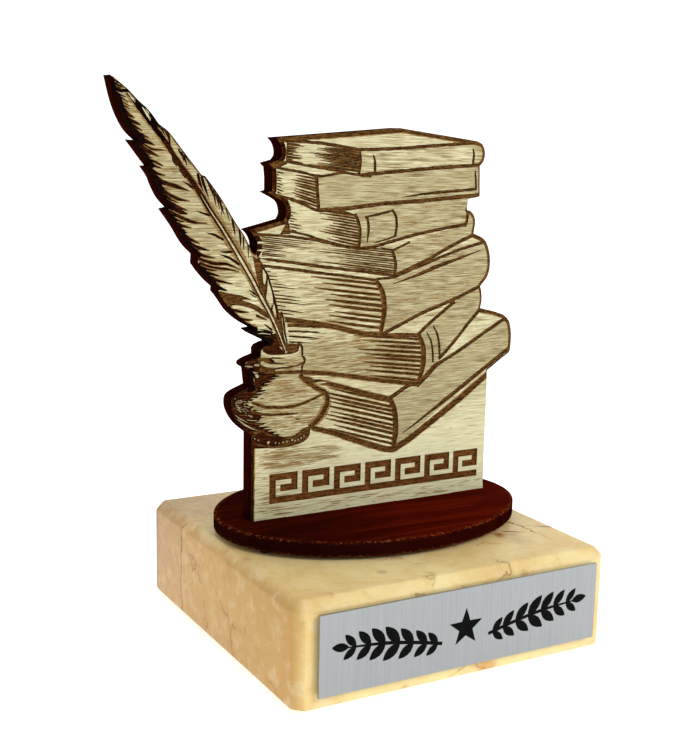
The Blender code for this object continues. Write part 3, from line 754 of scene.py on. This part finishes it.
def draw_quill(d):
    lower_vane = [
        -28.5, 54.5, -27.2, 52.2, -26.2, 50.6, -25.2, 49.6, -24.2, 47.4, -23.3, 44.4, -22.7, 41.4,
        -22, 42.2, -21.4, 40.6, -21, 38, -20.6, 35.6, -21, 33.8, -23, 35.6, -27, 37.6, -30, 40.5, -34, 46,
        -38, 52,
    ]
    d.fill(lower_vane, BARE)
    whole = [
        -57, 87, -50, 82.5, -46, 78, -37, 69.5, -30, 58.5, -27.4, 53, -30, 50.6, -34, 48.6, -38, 50,
        -42, 55, -49, 64, -56, 74,
    ]
    d.fill(whole, SHADE, None)
    d.grain((-38, 40, -26, 56), 90, (1, 4), 0.4, BARE)
    d.grain((-53, 40, -24, 82), 260, (0.8, 3), 0.15, SCORCH)

    # the shaded and split right vane over the books
    d.fill([-28.4, 53.2, -26.6, 52.2, -25.6, 50.4, -24.7, 48.6, -23.9, 46.2, -23.3, 43.9, -22.9, 41.6,
            -22.1, 42.3, -21.5, 40.8, -21.1, 38, -20.6, 35.2, -21.2, 34, -22.8, 37.9, -24.4, 41.4,
            -25.5, 43.4, -26.6, 45.6, -27.2, 48, -27.8, 50.4], BROWN)
    d.fill([-25.1, 48.7, -24.6, 47.2, -24.1, 45.4, -24, 44, -24.6, 42.9, -25.4, 44.6, -25.2, 46.6], BARE)
    d.fill([-26.2, 50.8, -25.6, 50, -25.5, 48.6, -25.9, 47.6, -26.2, 49.2], BARE)
    d.fill([-23.8, 43.8, -23.4, 42.6, -23.3, 41.1, -23.7, 41.2, -24.1, 42.2], BARE)
    d.line([-26.6, 46.9, -26.1, 45.6, -25.6, 44.4], 0.2, 0.3, BARE)
    d.line([-22, 41, -21.8, 39.6, -21.5, 38.2], 0.18, 0.3, BARE)
    d.line([-21.7, 38.4, -21.4, 37, -21, 35.8], 0.18, 0.3, BARE)
    d.line([-26.6, 51.4, -25.4, 49.8, -24.5, 47.4, -23.6, 44.6, -23, 42.4, -22.7, 40.6], 0.4, tone=DARK)
    d.line([-24.4, 43.9, -24.1, 42.4, -23.7, 41], 0.22, 0.4, DARK)
    d.line([-21.9, 42, -21.7, 39.6, -21.2, 37], 0.24, (0.3, 1), DARK)

    # dark rims of both vanes
    left_rim = [
        ((-29.2, 38.8), (-27.6, 39), 0.5), ((-27.6, 39), (-35.5, 46.5), 0.34),
        ((-35.4, 47.3), (-39.6, 51.9), 0.4), ((-39.5, 53.6), (-45.9, 62.2), 0.5),
        ((-44.7, 62.5), (-49.5, 70), 0.5), ((-48.6, 70.1), (-52.2, 74.7), 0.55),
        ((-50.6, 74.6), (-54.9, 81.7), 1), ((-54.9, 81.7), (-56, 85.9), 0.4),
    ]
    d.edge((-54.5, 84.9), (-50.8, 81.6), 0.3, DARK)
    d.edge((-50.8, 81.6), (-49.4, 80.5), 0.7, SOOT_AND_SHADOW)
    d.edge((-49.4, 80.5), (-47, 77.6), 0.75, SOOT_AND_SHADOW)
    d.edge((-46.4, 77.2), (-38.7, 68.5), 0.3, DARK, halo=0.2)
    d.edge((-38.7, 68.5), (-38, 68.3), 0.4, DARK)
    d.edge((-38, 68.3), (-27.8, 52.9), 0.28, DARK, halo=0.25)

    # the tip: a small tan triangle with fine hatching above a dark band
    d.fill([-55.7, 85.6, -54.8, 85, -53.2, 83.9, -53.4, 83.1, -54.4, 83.3, -55.5, 83.7], SCORCH)
    for row in range(5):
        up = 84.9 - 0.34 * row
        d.line([-55.5, up, -54.9, up - 0.05, -54.3 + 0.14 * row, up - 0.12], 0.12, (0.6, 0.3))
    d.line([-55.5, 83.7, -54.4, 83.2, -53.2, 83.2, -52.6, 83], 0.6, (0.8, 1), SOOT_AND_SHADOW)

    # longer barbs across the wide vane
    long_barbs = [
        ([-55.2, 82.7, -54, 82, -52.8, 81.2], 0.26), ([-55, 81.9, -53.8, 81.2, -52.6, 80.6], 0.22),
        ([-54.8, 81.1, -53.6, 80.6, -52.5, 80.1], 0.22), ([-54.6, 79.9, -52.9, 79.2, -51.6, 78.5], 0.5),
        ([-54.2, 78.9, -52.2, 78, -50.5, 77.3], 0.55), ([-53.6, 77.8, -51.6, 77, -50.2, 76.3], 0.4),
        ([-53, 76.9, -50.9, 75.8, -49, 75.1], 0.55), ([-52, 76, -50, 74.7, -47.9, 73.8], 0.6),
        ([-49.9, 73.9, -48.4, 73.1, -45.7, 72.9], 0.3), ([-51.3, 74.3, -49.5, 72.9, -47.1, 71.8], 0.62),
        ([-49.2, 71.3, -47.6, 70.7, -46.3, 70.1], 0.4), ([-49, 70.6, -47.6, 70, -46.6, 69.7], 0.3),
        ([-48.9, 69.7, -47.6, 68.8, -45.9, 68.4], 0.45),
        ([-48.4, 68.7, -46.6, 67.3, -44.4, 66.6, -41.3, 65.6], 0.62),
        ([-47.5, 66.6, -45.6, 65.2, -43.6, 64.2, -41.2, 63.7], 0.5),
        ([-46.2, 65.1, -44.8, 64, -43.3, 63.4], 0.3), ([-45.6, 64, -43.8, 62.8, -41.6, 62], 0.45),
        ([-44.9, 62.7, -43, 61.8, -41.6, 61.4], 0.7),
        ([-45.4, 62, -42.8, 60.7, -40.3, 59.8, -37.7, 59.6], 0.5),
        ([-44.2, 60.5, -43.1, 60.1, -42.2, 60], 0.25), ([-44, 59.8, -42.3, 59.1, -40.8, 58.8], 0.4),
        ([-42.8, 57.8, -41.3, 56.8, -39.2, 55.8], 0.55), ([-41.6, 56.1, -39.4, 55.1, -37.2, 54.5], 0.45),
        ([-41.4, 55.1, -38.6, 53.6, -36.1, 53.1], 0.48),
        ([-39.6, 53.1, -36.5, 52.1, -33.6, 51.8, -31, 50.7], 0.5),
        ([-39.4, 52.3, -37, 51.4, -33.8, 50.9, -31.2, 50.3], 0.4),
        ([-39.2, 51.6, -37.2, 50.9, -35.7, 50.7], 0.34), ([-38.8, 50.9, -36.6, 50, -35, 49.6], 0.4),
        ([-37.9, 49.8, -35.6, 48.8, -32.5, 48], 0.42), ([-33.2, 43.3, -30.9, 42.6, -29, 42.4], 0.36),
        ([-31.9, 41.5, -30, 41, -28.2, 40.8], 0.44), ([-27.6, 41.7, -26.2, 41.1, -25.2, 40.7], 0.3),
    ]
    for run, width in long_barbs:
        d.line(run, 1.2 * width, (1, 0.12), DARK, halo=0.12)

    for start, end, width in left_rim:
        run = d.edge(start, end, width, SOOT_AND_SHADOW, halo=0.3)
        for place in smooth(run, 1)[1:-1]:
            if width > 0.36:
                length = d.chance.uniform(1, 2.4)
                fall = 0.32 + 0.004 * (place.y - 38)
                middle = place + Vector((length * 0.5, -fall * length * 0.62))
                tip = place + Vector((length, -fall * length))
                d.line([place, middle, tip], d.chance.uniform(0.22, 0.4), (1, 0.1), SOOT_AND_SHADOW)

    # barbs that leave the shaft and run back up into the wide vane
    shaft_barbs = [
        ([-43.6, 70.2, -44.2, 70.9, -44.7, 71.7], 0.5), ([-41.9, 68, -42.8, 69, -43.5, 69.8], 0.45),
        ([-40.4, 65.9, -41.5, 66.8, -42.7, 67.4], 0.4), ([-36.8, 61, -38.4, 61.4, -40, 62], 0.45),
        ([-34.4, 56.4, -36, 57.3, -38, 57.9], 0.5), ([-32.2, 54.2, -33.8, 54.1, -35.1, 54.3], 0.4),
        ([-31.1, 51.6, -33, 52.9, -35.4, 53.8], 0.5), ([-26.8, 45.3, -28, 46, -29.2, 46.8], 0.45),
        ([-27.6, 45.2, -28.3, 45.6, -29, 46.2], 0.3), ([-24, 38.6, -24.9, 39.2, -25.9, 40], 0.42),
        ([-23.8, 38.1, -25.6, 38.7, -27.4, 39.1], 0.3),
    ]
    for run, width in shaft_barbs:
        d.line(run, width, (1, 0.1), DARK)

    # the heavy shaded locks low on the wide vane, then a black band of painted shadow along the notch with
    # a pale and a brown line across it
    d.fill([-35.4, 46.8, -32.5, 46.1, -30.9, 45.8, -28.5, 44.8, -30.6, 44.9, -29, 44.3, -27, 43.4,
            -25.3, 42.1, -24.8, 40.9, -26, 41.5, -28, 42.8, -30.5, 43.7, -32.4, 43.9, -34, 43.9], BROWN)
    # Painted shadow: a black band along the upper edge of the notch.
    d.fill([-29.6, 38.9, -26, 38.6, -24.2, 38.1, -22.8, 36.8, -22.4, 35.6, -24.4, 36.2, -28, 37.4], SOOT_AND_SHADOW)
    d.line([-27.6, 38.05, -26, 38.1, -24.4, 37.8], 0.2, 0.3, BARE)
    d.line([-25.4, 37.4, -24, 37.2, -23.2, 36.8], 0.3, 0.3, BROWN)

    # the notch between the quill and the inkwell: black painted shadow of the gap over the face beside it,
    # and a dark burnt patch under the feather
    d.fill([-29, 38.3, -26.4, 38, -25.4, 37, -23.3, 36.4, -23.1, 36, -24, 35.5, -25.6, 35.3, -26.4, 34.8,
            -26.5, 33.4, -27.6, 33, -29.4, 34], SOOT_AND_SHADOW, None)
    d.fill([-24.4, 37.6, -23, 38.2, -21.6, 36.4, -21, 34.8, -22.4, 35.2, -24, 35.7, -23.4, 36.3],
           DARK, None)

    # strokes down the narrow vane, with two pale windows near the tip
    narrow = [
        ([-47.2, 77.4, -46.4, 76.4, -45.9, 75.5], 0.34), ([-46.4, 76.9, -45.6, 75.8, -45, 74], 0.32),
        ([-45.6, 76.4, -45.1, 75.2, -44.9, 73.8], 0.34), ([-43.4, 73.2, -42.6, 71.8, -42.3, 70.9], 0.34),
        ([-42.9, 72.7, -42.1, 71.3, -41.7, 70.1], 0.42), ([-42.3, 72.2, -41.4, 71, -40.9, 70.2], 0.3),
        ([-39.6, 68.8, -39.2, 67, -38.5, 65.5], 0.6), ([-38.9, 68.2, -38.2, 66.2, -37.4, 64.3], 0.6),
        ([-38.1, 68, -37.2, 66.4, -36.6, 64.7], 0.36), ([-37.2, 66.9, -36.4, 64.8, -35.9, 62.6], 0.42),
        ([-36.4, 65.9, -35.7, 64, -35.2, 62.2], 0.38), ([-35.7, 65, -35, 63, -34.2, 61], 0.44),
        ([-35, 63.9, -34.8, 62.2, -34.9, 60.6], 0.26), ([-34, 62.4, -33.6, 61.2, -33.2, 60], 0.26),
        ([-32.7, 60.4, -32.3, 58.6, -32, 57], 0.42), ([-31.2, 58.2, -30.9, 56.2, -31, 54.6], 0.38),
        ([-30.3, 56.9, -30.3, 55.6, -30.2, 54.2], 0.3), ([-29.4, 55.4, -29.3, 54, -29.2, 52.8], 0.28),
    ]
    for run, width in narrow:
        d.line(run, width, (1, 0.1), DARK)

    # the shaft: one dark line near the tip that opens into a pale quill between two dark lines
    d.line([-44.8, 72.8, -46.2, 74.8, -48.3, 77.4, -50.4, 79.9, -51.6, 81.3, -53, 82.9], 1, (0.9, 0.5),
            SOOT_AND_SHADOW, 0.08, 0.3)
    d.line(SHAFT, 2.2, (0.5, 0.4), SCORCH, 0.15)
    d.line(SHAFT, 1.14, (0.9, 0.8), BROWN, 0.06)
    d.line(SHAFT[14:], 0.9, (0.2, 1), DARK, 0.05)
    d.line(SHAFT[:-6], 0.42, (0.3, 0.15), BARE, 0.04)
    d.line([-52.9, 82.9, -52.1, 82, -51.5, 81.3], 0.34, 0.4, BARE)
    d.line([-50.2, 80.4, -49.3, 79.2, -48.7, 78.2], 0.4, 0.4, BARE)
    d.line([-49.6, 80.2, -48.9, 79.3], 0.16, 0.4, BARE)


def draw_frieze(d):
    """A running key pattern where the real award carries words."""
    left, right, low, high = -24.4, 26, 3.3, 9.5
    units, cells_across, cells_up, stroke = 7, 6, 4, 1.42
    step_x = (right - left - stroke) / (units * cells_across - 2)
    step_y = (high - low - stroke) / cells_up
    for unit in range(units):
        def place(column, row):
            across = left + stroke / 2 + (unit * cells_across + column) * step_x
            return (across, low + stroke / 2 + row * step_y)
        end = place(cells_across, 0) if unit < units - 1 else place(4, 0)
        key = [place(2, 2), place(4, 2), place(4, 4), place(0, 4), place(0, 0), end]
        for start, stop in zip(key, key[1:]):
            d.bar(start, stop, stroke, WARM)


def engraving(rim):
    """Every mark on the board. The order matters, because marks are painted and drawn by chance in turn."""
    d = Drawing(11, rim)
    for draw in (
        draw_spine_shading, draw_book_7, draw_book_6, draw_book_5, draw_book_4, draw_book_3, draw_book_2,
        draw_book_1, draw_panel, draw_inkwell, draw_quill, draw_frieze,
    ):
        draw(d)
    return d.marks


# ---------------------------------------------------------------- sheets cut and marked from drawings


def sheet_outline(node):
    """The corners of a sheet's front face in the drawing's plane, in order, read from the CAD node.

    The edge that stands over the foot comes down onto it.
    """
    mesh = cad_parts[node].data
    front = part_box(node)[0].y
    steps = set()
    for polygon in mesh.polygons:
        places = [mesh.vertices[index].co for index in polygon.vertices]
        if max(place.y for place in places) < front + 0.01 * MM:
            keys = [(round(place.x / MM, 3), round(place.z / MM, 3)) for place in places]
            steps.update(zip(keys, keys[1:] + keys[:1]))
    following = {start: end for start, end in steps if (end, start) not in steps}
    ring = [min(following)]
    while following[ring[-1]] != ring[0]:
        ring.append(following[ring[-1]])
    outline = [Vector((x - CENTRE_X, z - BASE_Z)) for x, z in ring]
    foot_top = FOOT_HIGH.z / MM - BASE_Z
    for corner in outline:
        if foot_top < corner.y < foot_top + NEAR:
            corner.y = foot_top + SEAT_GAP
    return outline


def placed(mesh):
    """A new object in the scene, named after its mesh."""
    piece = bpy.data.objects.new(mesh.name, mesh)
    bpy.context.scene.collection.objects.link(piece)
    return piece


def covers(ring, points):
    """Which of the points a closed ring goes around."""
    corners = np.array([tuple(p) for p in ring])
    inside = np.zeros(len(points), bool)
    near = np.all((points >= corners.min(0)) & (points <= corners.max(0)), axis=1)
    x, y = points[near].T
    turns = np.zeros(len(x), int)
    for (x0, y0), (x1, y1) in zip(corners, np.roll(corners, -1, axis=0)):
        side = (x1 - x0) * (y - y0) - (x - x0) * (y1 - y0)
        turns += (y0 <= y) & (y1 > y) & (side > 0)
        turns -= (y0 > y) & (y1 <= y) & (side < 0)
    inside[near] = turns != 0
    return inside


def marked_sheet(name, outline, marks, front, back, depth, materials):
    """A closed sheet whose marks are sunk by depth, except those with a tone that stays level.

    materials holds one for each tone, for the edge and for the reverse. front and back are Y, depth is in
    millimetres, and the outline and marks are in the drawing's plane.
    """
    points, edges = [], []
    for ring in [outline] + [ring for _, ring in marks]:
        first = len(points)
        points += ring
        edges += [(first + i, first + (i + 1) % len(ring)) for i in range(len(ring))]
    places, _, faces = geometry.delaunay_2d_cdt(points, edges, [], 0, 1e-5)[:3]
    flat = np.array([tuple(place) for place in places])
    triangles = [tuple(face) for face in faces]
    middles = np.array([flat[list(face)].mean(0) for face in triangles])
    tone = np.full(len(triangles), BARE, dtype=object)
    for mark_tone, ring in marks:
        covered = covers(ring, middles)
        if mark_tone == SCORCH:
            covered &= (tone == BARE) | (tone == SHADE)
        tone[covered] = mark_tone
    kept = covers(outline, middles)
    triangles = [face for face, keep in zip(triangles, kept) if keep]
    tone = tone[kept]

    slots = list(materials)
    levels = {"front": front, "sunk": front + depth * MM, "back": back}
    vertices, index_of = [], {}

    def vertex(corner, level):
        key = (corner, level)
        if key not in index_of:
            index_of[key] = len(vertices)
            x, z = flat[corner]
            vertices.append(((x + CENTRE_X) * MM, levels[level], (z + BASE_Z) * MM))
        return index_of[key]

    owner = {}
    for number, face in enumerate(triangles):
        for step in zip(face, face[1:] + face[:1]):
            owner[step] = number
    polygons, finish = [], []
    level_of = ["front" if value in LEVEL_TONES else "sunk" for value in tone]
    sunk_corners = set()
    for face, level in zip(triangles, level_of):
        if level == "sunk":
            sunk_corners.update(face)
    for number, face in enumerate(triangles):
        level = level_of[number]
        polygons.append([vertex(corner, level) for corner in face])
        finish.append(slots.index(tone[number]))
        polygons.append([vertex(corner, "back") for corner in reversed(face)])
        finish.append(slots.index("reverse"))
        for start, end in zip(face, face[1:] + face[:1]):
            other = owner.get((end, start))
            if other is None:
                low, kind = "back", "edge"
            elif level == "front" and level_of[other] == "sunk":
                low, kind = "sunk", tone[other]
            else:
                continue
            wall = [vertex(start, level), vertex(start, low), vertex(end, low), vertex(end, level)]
            if (level, low) == ("front", "back"):
                if end in sunk_corners:
                    wall.insert(3, vertex(end, "sunk"))
                if start in sunk_corners:
                    wall.insert(1, vertex(start, "sunk"))
            polygons.append(wall)
            finish.append(slots.index(kind))
    mesh = bpy.data.meshes.new(name)
    mesh.from_pydata(vertices, [], polygons)
    for material in materials.values():
        mesh.materials.append(material)
    mesh.polygons.foreach_set("material_index", finish)
    mesh.validate()
    mesh.update()
    return placed(mesh)


def mounted(piece, node):
    """Rides the piece on the one body, in the place of a CAD node."""
    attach(piece, "root")
    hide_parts(node)


# ---------------------------------------------------------------- pieces


def rounded_copy(node, name, width, segments, material, reshape=None):
    """A CAD node's shape with its corners softened by a bevel. reshape may move its points first."""
    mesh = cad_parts[node].data.copy()
    mesh.name = name
    if reshape:
        for vertex in mesh.vertices:
            reshape(vertex.co)
    bm = bmesh.new()
    bm.from_mesh(mesh)
    bmesh.ops.remove_doubles(bm, verts=bm.verts, dist=0.001 * MM)
    bmesh.ops.dissolve_limit(bm, angle_limit=math.radians(1.0), verts=bm.verts, edges=bm.edges)
    sharp = [edge for edge in bm.edges if edge.calc_face_angle(0.0) > math.radians(12.0)]
    bmesh.ops.bevel(bm, geom=sharp, offset=width, segments=segments, affect="EDGES", profile=0.5)
    bmesh.ops.triangulate(bm, faces=[face for face in bm.faces if len(face.verts) > 4])
    bm.to_mesh(mesh)
    bm.free()
    mesh.materials.clear()
    mesh.materials.append(material)
    mesh.shade_smooth()
    mesh.set_sharp_from_angle(angle=math.radians(32.0))
    return placed(mesh)


def board_core(outline, front, back, material):
    """The board between its veneers, with a cut edge that is slightly rough from the laser."""
    rows, spacing, least, most = 7, 0.5, 0.02, 0.055       # the last three in millimetres
    ring = []
    for start, end in zip(outline, outline[1:] + outline[:1]):
        steps = max(1, round((end - start).length / spacing))
        ring += [start.lerp(end, step / steps) for step in range(steps)]
    count = len(ring)
    vertices = []
    for row in range(rows + 1):
        y = front + (back - front) * row / rows
        for index, place in enumerate(ring):
            along = ring[(index + 1) % count] - ring[index - 1]
            inward = Vector((-along.y, along.x)).normalized()
            grit = 0.0
            if 0 < row < rows:
                spot = Vector((place.x * 1.7, y / MM * 0.25, place.y * 1.7))
                grit = least + (most - least) * abs(noise.noise(spot))
            across, up = place + inward * grit
            vertices.append(((across + CENTRE_X) * MM, y, (up + BASE_Z) * MM))
    polygons = [list(range(count)), list(range(rows * count, (rows + 1) * count))[::-1]]
    for row in range(rows):
        for index in range(count):
            after = (index + 1) % count
            low, high = row * count, (row + 1) * count
            polygons.append([low + index, high + index, high + after, low + after])
    mesh = bpy.data.meshes.new("board_core")
    mesh.from_pydata(vertices, [], polygons)
    bm = bmesh.new()
    bm.from_mesh(mesh)
    bmesh.ops.recalc_face_normals(bm, faces=bm.faces)
    bmesh.ops.triangulate(bm, faces=[face for face in bm.faces if len(face.verts) > 4])
    bm.to_mesh(mesh)
    bm.free()
    mesh.materials.append(material)
    return placed(mesh)


def make_board():
    edge = charred_edge("charred_edge")
    outline = sheet_outline("figure_face")

    low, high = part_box("figure_face")
    tones = {
        BARE: pale_wood(
            "limed_wood", srgb(219, 214, 176), srgb(176, 166, 122), srgb(112, 84, 42), 0.8, painted_light=0.45),
        SHADE: pale_wood("shaded_wood", srgb(196, 188, 148), srgb(148, 134, 92), srgb(90, 64, 28), 1.1),
        SCORCH: pale_wood("scorched_wood", srgb(160, 134, 88), srgb(132, 100, 56), srgb(84, 52, 22), 1.0),
        SOOT_AND_SHADOW: burnt_wood("burnt_black_and_shadow", srgb(7, 3, 2), srgb(40, 16, 8), 0.4),
        DARK: burnt_wood("burnt_dark", srgb(24, 9, 3), srgb(96, 47, 21), 0.6),
        BROWN: burnt_wood("burnt_brown", srgb(52, 29, 9), srgb(130, 92, 46), 0.85),
        WARM: burnt_wood("burnt_warm", srgb(70, 36, 12), srgb(142, 94, 46), 0.8),
        "reverse": edge,
        "edge": edge,
    }
    face = marked_sheet("engraved_face", outline, engraving(outline), low.y, high.y, GROOVE_DEPTH, tones)
    mounted(face, "figure_face")

    gap = SEAT_GAP * MM
    core = board_core(outline, high.y + gap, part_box("figure_back")[0].y - gap, edge)
    mounted(core, "figure_core")

    low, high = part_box("figure_back")
    back_wood = pale_wood("back_wood", srgb(206, 184, 134), srgb(186, 158, 106), srgb(126, 88, 48), 0.5)
    tones = {BARE: edge, "reverse": back_wood, "edge": edge}
    back = marked_sheet("back_sheet", outline, [], low.y, high.y, 0.0, tones)
    mounted(back, "figure_back")


def close_slots():
    """A function that brings the long walls of the foot's slots up to the board's two faces."""
    front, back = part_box("figure_face")[0].y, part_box("figure_back")[1].y

    def move(point):
        if abs(point.x / MM - CENTRE_X) < BOARD_HALF:
            if -NEAR * MM < point.y - front < 0.0:
                point.y = front - SEAT_GAP * MM
            if 0.0 < point.y - back < NEAR * MM:
                point.y = back + SEAT_GAP * MM

    return move


def make_foot():
    foot = rounded_copy("oval_foot", "foot_disc", 0.12 * MM, 2, mahogany("mahogany"), close_slots())
    mounted(foot, "oval_foot")


def make_stone():
    stone = rounded_copy("marble_base", "stone_block", 0.35 * MM, 3, limestone("limestone"))
    mounted(stone, "marble_base")


def leaf(tip_from, tip_to, width):
    """A pointed leaf between two tips."""
    start, end = Vector(tip_from), Vector(tip_to)
    along = end - start
    side = Vector((-along.y, along.x)).normalized() * width / 2.0
    shares = [0.0, 0.15, 0.35, 0.55, 0.75, 0.9, 1.0]
    bulge = [0.0, 0.55, 0.95, 1.0, 0.75, 0.38, 0.0]
    upper = [start + along * t + side * b for t, b in zip(shares, bulge)]
    lower = [start + along * t - side * b for t, b in zip(shares, bulge)]
    return upper + lower[-2:0:-1]


def plate_ornament(centre_up):
    """A star between two laurel sprigs, in place of the printed words."""
    d = Drawing(seed=3)
    ink = "ink"
    middle = Vector((-CENTRE_X, centre_up))
    star = []
    for point in range(10):
        radius = 3.9 if point % 2 == 0 else 1.6
        angle = math.pi / 2.0 + point * math.pi / 5.0
        star.append(middle + Vector((math.cos(angle), math.sin(angle))) * radius)
    d.fill(star, ink, None)
    for side in (-1.0, 1.0):
        def place(across, up):
            return middle + Vector((side * across, up))
        stem = [place(5.2, -2.2), place(11.0, -0.9), place(18.0, 0.3), place(25.6, 0.9)]
        d.line(stem, 0.7, (1.0, 0.4), ink, 0.0)
        run = smooth(stem, 0.5)
        pairs = 7
        for pair in range(pairs):
            t = (pair + 0.35) / pairs
            root = run[int(t * (len(run) - 1))]
            size = 1.0 - 0.35 * abs(2.0 * t - 1.0)
            for across, up in ((3.3, 3.7), (3.7, -2.9)):
                d.fill(leaf(root, root + Vector((side * across, up)) * size, 2.1 * size), ink, None)
        end = run[-1]
        d.fill(leaf(end - Vector((side * 0.6, 0.0)), end + Vector((side * 3.0, 0.5)), 1.7), ink, None)
    return d.marks


def make_plate():
    low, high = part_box("nameplate")
    corners = [(low.x, low.z), (high.x, low.z), (high.x, high.z), (low.x, high.z)]
    outline = [Vector((x / MM - CENTRE_X, z / MM - BASE_Z)) for x, z in corners]
    metal = brushed_metal("brushed_silver")
    tones = {BARE: metal, "reverse": metal, "edge": metal, "ink": black_ink("black_ink")}
    marks = plate_ornament((low.z + high.z) / 2.0 / MM - BASE_Z)
    plate = marked_sheet("name_plate", outline, marks, low.y, high.y, 0.01, tones)
    mounted(plate, "nameplate")


def give_material(node, material):
    """A better material for a CAD node that stays."""
    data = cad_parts[node].data
    for index in range(len(data.materials)):
        data.materials[index] = material
    if not data.materials:
        data.materials.append(material)


# ---------------------------------------------------------------- studio


def make_floor():
    """A pale floor that curves up into a backdrop, so that no horizon shows."""
    radius, near, far, width, height = 1.2, -3.0, 1.6, 4.0, 3.0
    profile = [(near, 0.0), (far, 0.0)]
    for step in range(1, 17):
        angle = math.pi / 2.0 * step / 16
        profile.append((far + radius * math.sin(angle), radius * (1.0 - math.cos(angle))))
    profile.append((far + radius, height))
    vertices = [(side * width, y, z) for y, z in profile for side in (-1.0, 1.0)]
    polygons = [(2 * i, 2 * i + 1, 2 * i + 3, 2 * i + 2) for i in range(len(profile) - 1)]
    mesh = bpy.data.meshes.new("floor")
    mesh.from_pydata(vertices, [], polygons)
    mesh.shade_smooth()
    s = Shader("pale_floor", roughness=0.9, specular=0.1)
    s.surface.inputs["Base Color"].default_value = (0.9, 0.9, 0.9, 1.0)
    s.surface.inputs["Emission Color"].default_value = (1.0, 1.0, 1.0, 1.0)
    s.surface.inputs["Emission Strength"].default_value = 0.62
    mesh.materials.append(s.material)
    floor = placed(mesh)


def make_world():
    world = bpy.data.worlds.new("studio")
    world.use_nodes = True
    tree = world.node_tree
    seen = tree.nodes["Background"]
    seen.inputs["Color"].default_value = (1.0, 1.0, 1.0, 1.0)
    seen.inputs["Strength"].default_value = 1.0
    soft = tree.nodes.new("ShaderNodeBackground")
    soft.inputs["Color"].default_value = (1.0, 0.99, 0.97, 1.0)
    soft.inputs["Strength"].default_value = 0.46
    rays = tree.nodes.new("ShaderNodeLightPath")
    mix = tree.nodes.new("ShaderNodeMixShader")
    tree.links.new(rays.outputs["Is Camera Ray"], mix.inputs[0])
    tree.links.new(soft.outputs[0], mix.inputs[1])
    tree.links.new(seen.outputs[0], mix.inputs[2])
    tree.links.new(mix.outputs[0], tree.nodes["World Output"].inputs["Surface"])
    bpy.context.scene.world = world


def add_softbox(name, place, size, power, colour=(1.0, 1.0, 1.0)):
    light = bpy.data.lights.new(name, "AREA")
    light.shape = "DISK"
    light.size = size
    light.energy = power
    light.color = colour
    lamp = bpy.data.objects.new(name, light)
    lamp.location = place
    aim = Vector((0.0, 0.0, 0.05)) - lamp.location
    lamp.rotation_euler = aim.to_track_quat("-Z", "Y").to_euler()
    bpy.context.scene.collection.objects.link(lamp)


def make_lights():
    add_softbox("key", Vector((0.35, -0.75, 0.65)), 0.5, 5.0, (1.0, 0.99, 0.97))
    add_softbox("fill", Vector((-0.85, -0.35, 0.35)), 0.6, 0.6)
    add_softbox("top", Vector((0.1, 0.45, 0.9)), 0.6, 1.6)


def make_camera():
    """At the height and turn that show the front, the left side and the top of the block."""
    azimuth, elevation, roll = math.radians(-29.41), math.radians(11.16), math.radians(1.21)
    distance = 0.2533
    target = Vector((-0.0058, 0.001, 0.05308))
    back = Vector((
        math.sin(azimuth) * math.cos(elevation),
        -math.cos(azimuth) * math.cos(elevation),
        math.sin(elevation),
    ))
    camera = bpy.data.cameras.new("camera")
    camera.lens = 59.62
    camera.sensor_width = 36.0
    camera.sensor_fit = "AUTO"
    camera.clip_start = 0.01
    holder = bpy.data.objects.new("camera", camera)
    holder.location = target + back * distance
    holder.rotation_mode = "QUATERNION"
    holder.rotation_quaternion = (-back).to_track_quat("-Z", "Y") @ Quaternion((0.0, 0.0, 1.0), roll)
    bpy.context.scene.collection.objects.link(holder)
    bpy.context.scene.camera = holder


def main():
    bpy.context.scene.view_settings.view_transform = "Standard"
    make_camera()
    make_board()
    make_foot()
    make_stone()
    make_plate()
    give_material("base_felt", felt("green_felt"))
    sheet = adhesive("plate_adhesive_sheet", srgb(196, 194, 186), srgb(222, 220, 212))
    give_material("nameplate_tape", sheet)
    for node in ("foot_tape_left", "foot_tape_right"):
        give_material(node, adhesive("foot_adhesive_" + node, srgb(14, 14, 14), srgb(34, 33, 32)))
    make_floor()
    make_world()
    make_lights()


main()
